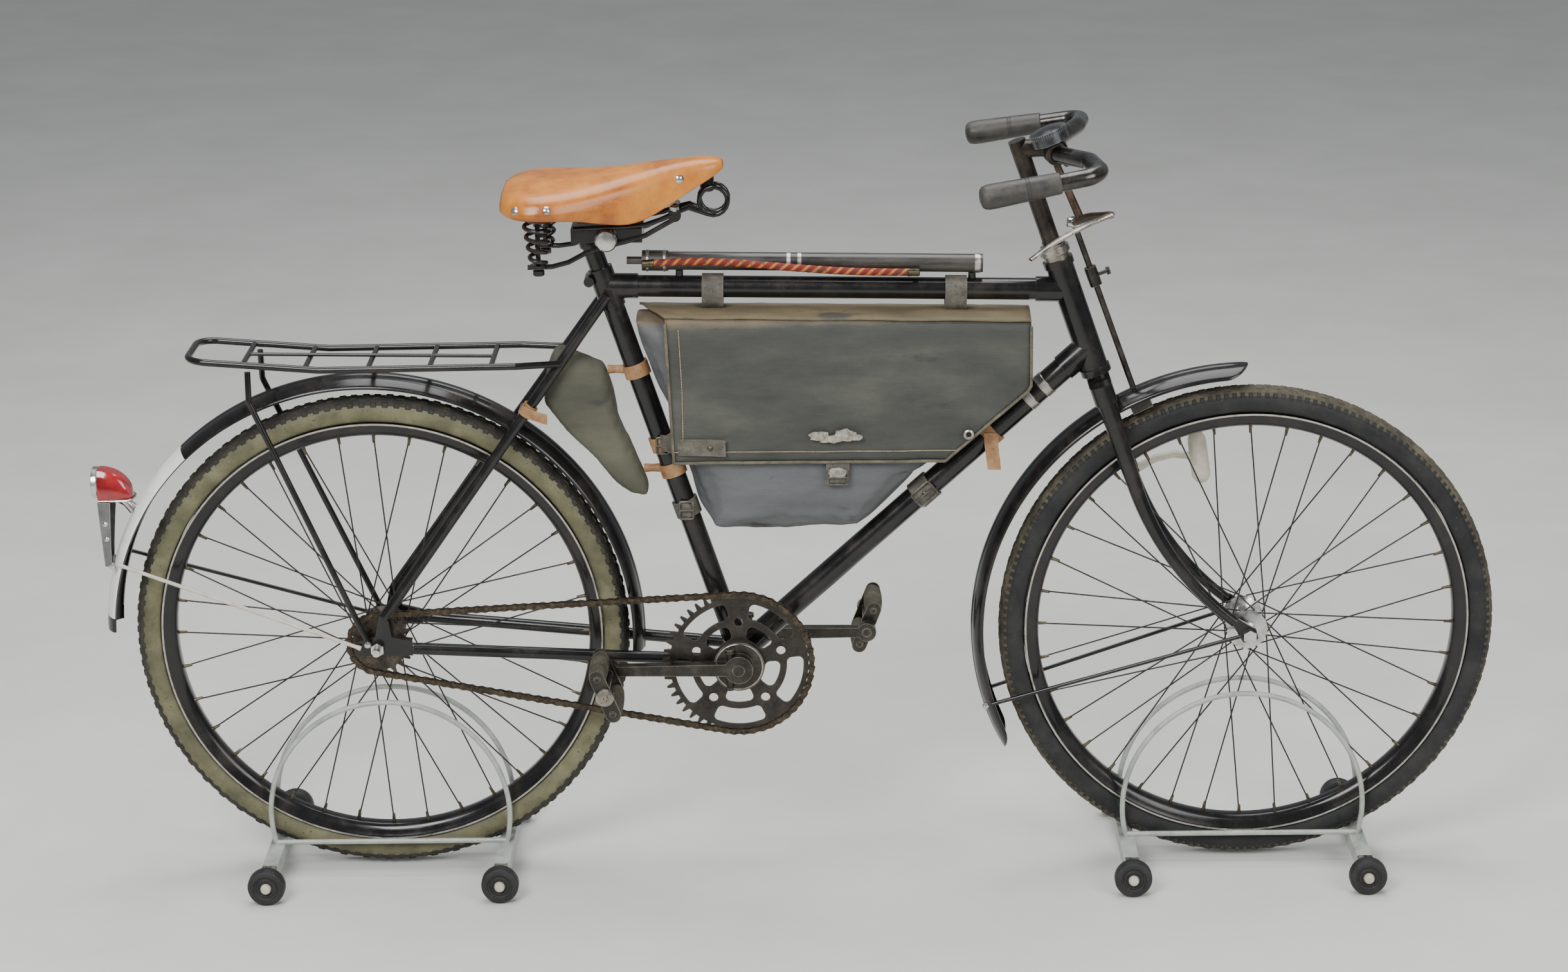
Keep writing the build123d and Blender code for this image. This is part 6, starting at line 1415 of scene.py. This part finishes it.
grip_shapes = []
for side in (-1, 1):
    grip_end = bar_middle + Vector((-99.0, side * 195.0, -20.0))
    bar_corner = bar_middle + Vector((49.0, side * 178.0, 4.0))
    grip_shapes.append(profiled(GRIP, along_axis(grip_end, (bar_corner - grip_end).normalized()), 28))
piece("grip_sleeves", grip_shapes, [grip_rubber], "fork", ["grips"], 28.0)

# Bell: a shallow drum of blued steel with a domed lid and a knurled edge.
# It sits on a brown iron clamp round the bar.
# The pale edge colour of the bell steel is a painted highlight along the drum's edges.
bell_steel = surface("blued_bell_steel",
                     [(0.040, 0.044, 0.047), (0.075, 0.080, 0.084), (0.13, 0.135, 0.138)], 50.0,
                     (0.2, 0.42), (0.1, 0.0004), metallic=0.85, worn=((0.12, 0.085, 0.055), 0.68),
                     edge=(0.50, 0.50, 0.48))
coat_nodes(bell_steel, "bell")
bell_y = -36.0
clamp_shapes = [rod([from_axle(bar_middle.x, y, bar_middle.z) for y in (-46.0, -45.0, -27.0, -26.0)],
                    [0.0128, 0.0138, 0.0138, 0.0128], 28),
                rod([from_axle(bar_middle.x + x, bell_y, bar_middle.z + z)
                     for x, z in ((9.0, -9.0), (15.0, -14.0), (16.0, -15.0))], [0.0042, 0.0042, 0.003], 12)]
piece("bell_clamp", clamp_shapes, [stem_brown], "fork")
bell_tilt = radians(22.0)
bell_axis = Vector((-sin(bell_tilt), 0.0, cos(bell_tilt)))
bell_across = Vector((bell_axis.z, 0.0, -bell_axis.x))
bell_foot = bar_middle + Vector((0.0, bell_y, 0.0)) + bell_axis * 17.4
bell_radius = 24.0
knurl_count = 48
knurl_turn = tuple(upward.rotation_difference(bell_axis).to_euler())
knurl_seats = []
for step in range(knurl_count):
    turn = 2 * pi * step / knurl_count
    spot = bell_foot + bell_axis * 13.0 + (bell_across * cos(turn) + axle_dir * sin(turn)) * bell_radius
    knurl_seats.append((from_axle(*spot), knurl_turn))
knurl_shape = rod([(0, 0, -0.0028), (0, 0, -0.0018), (0, 0, 0.0018), (0, 0, 0.0028)],
                  [0.0003, 0.0008, 0.0008, 0.0003], 6)
repeated("bell_knurling", knurl_seats, knurl_shape, bell_steel, "fork")

# Brake lever and rod: a brown iron arm hung under the bar on a bright pivot, with a flat nickelled blade in
# front of the grip, and a dark steel rod down to the spoon over the tyre.
lever_brown = surface("brown_lever_iron",
                      [(0.032, 0.020, 0.014), (0.066, 0.040, 0.026), (0.115, 0.075, 0.050)], 60.0,
                      (0.3, 0.55), (0.15, 0.0005), metallic=0.6, worn=((0.20, 0.165, 0.125), 0.68))
coat_nodes(crank_steel, "brake_rod")
lever_root = Vector((919.7, -4.6, 552.9))
lever_elbow = bar_middle + Vector((40.0, -72.0, -74.0))
lever_bend = bar_middle + Vector((62.0, -140.0, -56.0))
lever_tip = bar_middle + Vector((-42.0, -195.0, -99.0))
hanger = lever_root.lerp(lever_elbow, (36.0 - 4.6) / (72.0 - 4.6))
hanger_top = hanger.lerp(bar_middle + Vector((0, bell_y, -12.5)), 0.97)
lever_line = (lever_root, lever_root.lerp(lever_elbow, 0.85), lever_elbow.lerp(lever_bend, 0.1),
              lever_elbow.lerp(lever_bend, 0.5), lever_bend)
lever_shapes = [rod([from_axle(*spot) for spot in lever_line],
                    [0.0052, 0.0055, 0.0052, 0.0048, 0.0046], 14, 0),
                rod([from_axle(*hanger), from_axle(*hanger_top)], [0.0056, 0.0046], 14, 0)]
blade_run = (lever_tip - lever_bend).normalized()
blade_side = upward.cross(blade_run).normalized()
blade_up = blade_run.cross(blade_side)
blade_verts = []
blade_rows = 13
blade_sides = 10
for row in range(blade_rows):
    share = row / (blade_rows - 1)
    spot = lever_bend.lerp(lever_tip, share) + blade_up * 5.0 * sin(pi * share)
    wide = 6.4 - 2.2 * share + 0.9 * sin(pi * share)
    tall = 2.6 - 0.6 * share
    for corner in range(blade_sides):
        turn = 2 * pi * corner / blade_sides
        blade_verts.append(from_axle(*(spot + blade_side * wide * cos(turn) + blade_up * tall * sin(turn))))
lever_shapes.append((blade_verts, skin_faces(blade_rows, blade_sides), 1))
pivot_ends = (lever_root + Vector((-9.0, -2.0, 1.0)), lever_root + Vector((9.0, -2.0, -1.0)))
lever_shapes.append(rod([from_axle(*pivot_ends[0].lerp(pivot_ends[1], share))
                         for share in (0.0, 0.08, 0.92, 1.0)], [0.0052, 0.0066, 0.0066, 0.0052], 16, 2))
piece("brake_lever_arm", lever_shapes, [lever_brown, worn_nickel, bright_nickel], "fork",
      ["brake_lever"])

# Brake rod screw: a small turned steel thumb screw, dark like the rod.
# It is screwed through the front of the rod's adjusting knob.
knob_spot = Vector((946.1, 0.0, 480.2))
screw_dir = Vector((0.9403, 0.0, 0.3404))
SHANK = ((5.0, 2.4), (18.0, 2.4), (19.0, 2.0))
HEAD = ((17.6, 4.2), (18.2, 5.2), (22.6, 5.2), (23.4, 4.2))
screw_shapes = [profiled(line, along_axis(knob_spot, screw_dir), 16) for line in (SHANK, HEAD)]
piece("brake_rod_screw", screw_shapes, [crank_steel], "fork")

# Dynamo: an ivory painted steel bottle with a domed foot, a ribbed cap and a bright roller.
# A curved arm and a black clamp with two bright bolts hold it on the left fork blade.
ivory = surface("ivory_dynamo_paint", [(0.42, 0.38, 0.29), (0.55, 0.51, 0.41), (0.62, 0.59, 0.49)], 46.0,
                (0.3, 0.55), (0.12, 0.0005), worn=((0.15, 0.11, 0.075), 0.67), coat=0.15)
dynamo_low = Vector((1099.0, 48.0, 190.0))
dynamo_high = Vector((1090.0, 48.0, 250.0))
dynamo_lift = (dynamo_high - dynamo_low).normalized()
# Bottle and its roller: place along the axis, radius
BOTTLE = ((-8.0, 2.0), (-7.4, 5.0), (-5.0, 8.4), (-1.0, 11.2), (3.0, 12.5), (20.0, 12.5), (20.6, 11.9),
          (22.0, 11.9), (22.6, 12.5), (48.0, 12.5), (56.0, 11.6), (60.5, 9.4), (63.0, 8.0), (68.0, 7.8),
          (68.4, 6.2))
ROLLER = ((68.2, 6.5), (69.0, 8.4), (75.5, 8.4), (76.6, 6.5))
dynamo_place = along_axis(dynamo_low, dynamo_lift)
dynamo_shapes = [profiled(BOTTLE, dynamo_place, 28, 0), profiled(ROLLER, dynamo_place, 18, 1)]
blade_spot = Vector((1014.0, 47.0, 204.0))
ARM_STEPS = ((0.0, 0.0, 0.0), (22.0, 1.0, 12.0), (46.0, 1.0, 18.0), (64.0, 1.0, 16.0))
arm_line = [blade_spot + Vector(step) for step in ARM_STEPS]
arm_line.append(dynamo_low + dynamo_lift * 28.0)
dynamo_shapes.append(rod([from_axle(*spot) for spot in arm_line], [0.0058, 0.0052, 0.005, 0.005, 0.0055],
                         14, 0))
steer_dir = Vector((-0.32557, 0.0, 0.94552))
clamp_spot = Vector((1002.7, 47.0, 204.0))
clamp_place = along_axis(clamp_spot, steer_dir)
dynamo_shapes.append(rod([clamp_place(step) for step in (-9.0, -8.0, 8.0, 9.0)],
                         [0.0108, 0.0118, 0.0118, 0.0108], 24, 2))
for step in (-4.5, 4.5):
    spot = clamp_spot + steer_dir * step
    dynamo_shapes.append(rod([from_axle(*(spot + Vector((4.0, side, 0.0)))) for side in (10.0, 13.5, 14.6)],
                             [0.0036, 0.0036, 0.0026], 6, 1))
piece("dynamo_bottle", dynamo_shapes, [ivory, bright_nickel, black_enamel], "fork",
      ["dynamo"])

# Stands: welded steel rod hoops on square cross tubes, painted pale grey-green, each on four small casters.
# The casters have black rubber tyres, cream hub caps and bright clips. The wheels rest between the hoops.
stand_paint = surface("pale_stand_paint", [(0.29, 0.31, 0.28), (0.41, 0.43, 0.39), (0.50, 0.52, 0.48)],
                      30.0, (0.35, 0.6), (0.12, 0.0006), metallic=0.2, worn=((0.17, 0.14, 0.105), 0.67),
                      edge=(0.60, 0.60, 0.57))
caster_rubber = surface("black_caster_rubber",
                        [(0.009, 0.009, 0.009), (0.015, 0.015, 0.015), (0.028, 0.027, 0.026)], 60.0,
                        (0.5, 0.75), (0.25, 0.0006), worn=((0.09, 0.085, 0.078), 0.66))
coat_nodes(stand_paint, "rear_stand_frame", "front_stand_frame")


def lathed(line, sides=32):
    """Small wheel turned about its axle from side places and radii in millimetres."""
    verts = []
    for y, radius in line:
        for side in range(sides):
            turn = 2 * pi * side / sides
            verts.append(Vector((radius * cos(turn), y, radius * sin(turn))) / 1000.0)
    return verts, skin_faces(len(line), sides), 0


# Caster tyre and hub cap: side place, radius
CASTER_TYRE = ((-9.0, 5.0), (-9.0, 14.0), (-10.0, 17.0), (-10.0, 21.0), (-8.6, 23.8), (-5.0, 25.0),
               (5.0, 25.0), (8.6, 23.8), (10.0, 21.0), (10.0, 17.2), (8.6, 16.2), (7.6, 13.6), (8.8, 12.4),
               (8.8, 10.4), (7.6, 9.2), (7.6, 5.0))
CASTER_HUB = ((-10.6, 6.0), (-10.4, 7.0), (9.0, 7.0), (11.2, 6.8), (13.4, 5.6), (14.6, 3.4), (15.0, 1.2))
caster_radius = 0.025
clip_side = 0.114
clip_height = 0.0399
for wheel, wheel_x, body in (("rear", 0.0, "frame"), ("front", wheelbase, "fork")):
    caster_seats = []
    clip_seats = []
    for x in (-156.0, 156.0):
        for side in (-1, 1):
            spot = from_axle(wheel_x + x, side * 136.0, 0.0)
            spot.z = caster_radius
            turn = (0.0, 0.0, 0.0 if side > 0 else pi)
            caster_seats.append((spot, turn))
            clip_seats.append((Vector((spot.x, side * clip_side, clip_height)), turn))
    repeated(wheel + "_caster_tyres", caster_seats, lathed(CASTER_TYRE), caster_rubber, body,
             [wheel + "_stand_casters"], spread=0.0)
    repeated(wheel + "_caster_hubs", caster_seats, lathed(CASTER_HUB), ivory, body,
             spread=0.0)
    repeated(wheel + "_caster_clips", clip_seats, block(21.0, 15.0, 2.4, 0.86), bright_nickel, body,
             spread=0.0)

# Studio: a pale painted floor with soft lights on both sides and above.
# The camera stands where the photograph's camera stood.
floor_paint = surface("pale_floor", [(0.64, 0.64, 0.60), (0.67, 0.67, 0.63), (0.70, 0.70, 0.66)], 3.0,
                      (0.75, 0.85), (0.05, 0.0005))
floor_half = 40
floor_mesh = bpy.data.meshes.new("studio_floor")
floor_mesh.from_pydata([(x * floor_half, y * floor_half, 0)
                        for x, y in ((-1, -1), (1, -1), (1, 1), (-1, 1))], [], [(0, 1, 2, 3)])
floor_mesh.materials.append(floor_paint)
floor = placed("studio_floor", floor_mesh)
world = bpy.data.worlds.new("studio_air")
bpy.context.scene.world = world
world.use_nodes = True
air = world.node_tree.nodes["Background"]
air.inputs["Color"].default_value = (0.80, 0.85, 0.90, 1.0)
air.inputs["Strength"].default_value = 0.34
for name, place, aim, size, power in (("key_light", (-1.6, -3.2, 3.2), (0.0, 0.0, 0.5), 1.8, 165.0),
                                      ("fill_light", (2.6, -2.8, 2.4), (0.1, 0.0, 0.5), 2.0, 80.0),
                                      ("top_light", (0.0, 0.6, 3.8), (0.0, 0.0, 0.4), 2.6, 130.0)):
    lamp_data = bpy.data.lights.new(name, "AREA")
    lamp_data.size = size
    lamp_data.energy = power
    lamp = placed(name, lamp_data)
    lamp.location = place
    lamp.rotation_euler = (Vector(aim) - Vector(place)).to_track_quat("-Z", "Y").to_euler()
camera_data = bpy.data.cameras.new("photo_camera")
camera_data.sensor_width = 36.0
camera_data.lens = 77.44
photo_camera = placed("photo_camera", camera_data)
yaw = radians(-0.661)
pitch_down = radians(17.719)
roll = radians(0.833)
ahead = Vector((sin(yaw) * cos(pitch_down), cos(yaw) * cos(pitch_down), -sin(pitch_down)))
level = Vector((cos(yaw), -sin(yaw), 0.0))
below = ahead.cross(level)
right = cos(roll) * level + sin(roll) * below
down = -sin(roll) * level + cos(roll) * below
camera_turn = Matrix((right, -down, -ahead)).transposed()
photo_camera.matrix_world = Matrix.Translation(from_axle(590.0, -4258.0, 1559.0)) @ camera_turn.to_4x4()
bpy.context.scene.camera = photo_camera
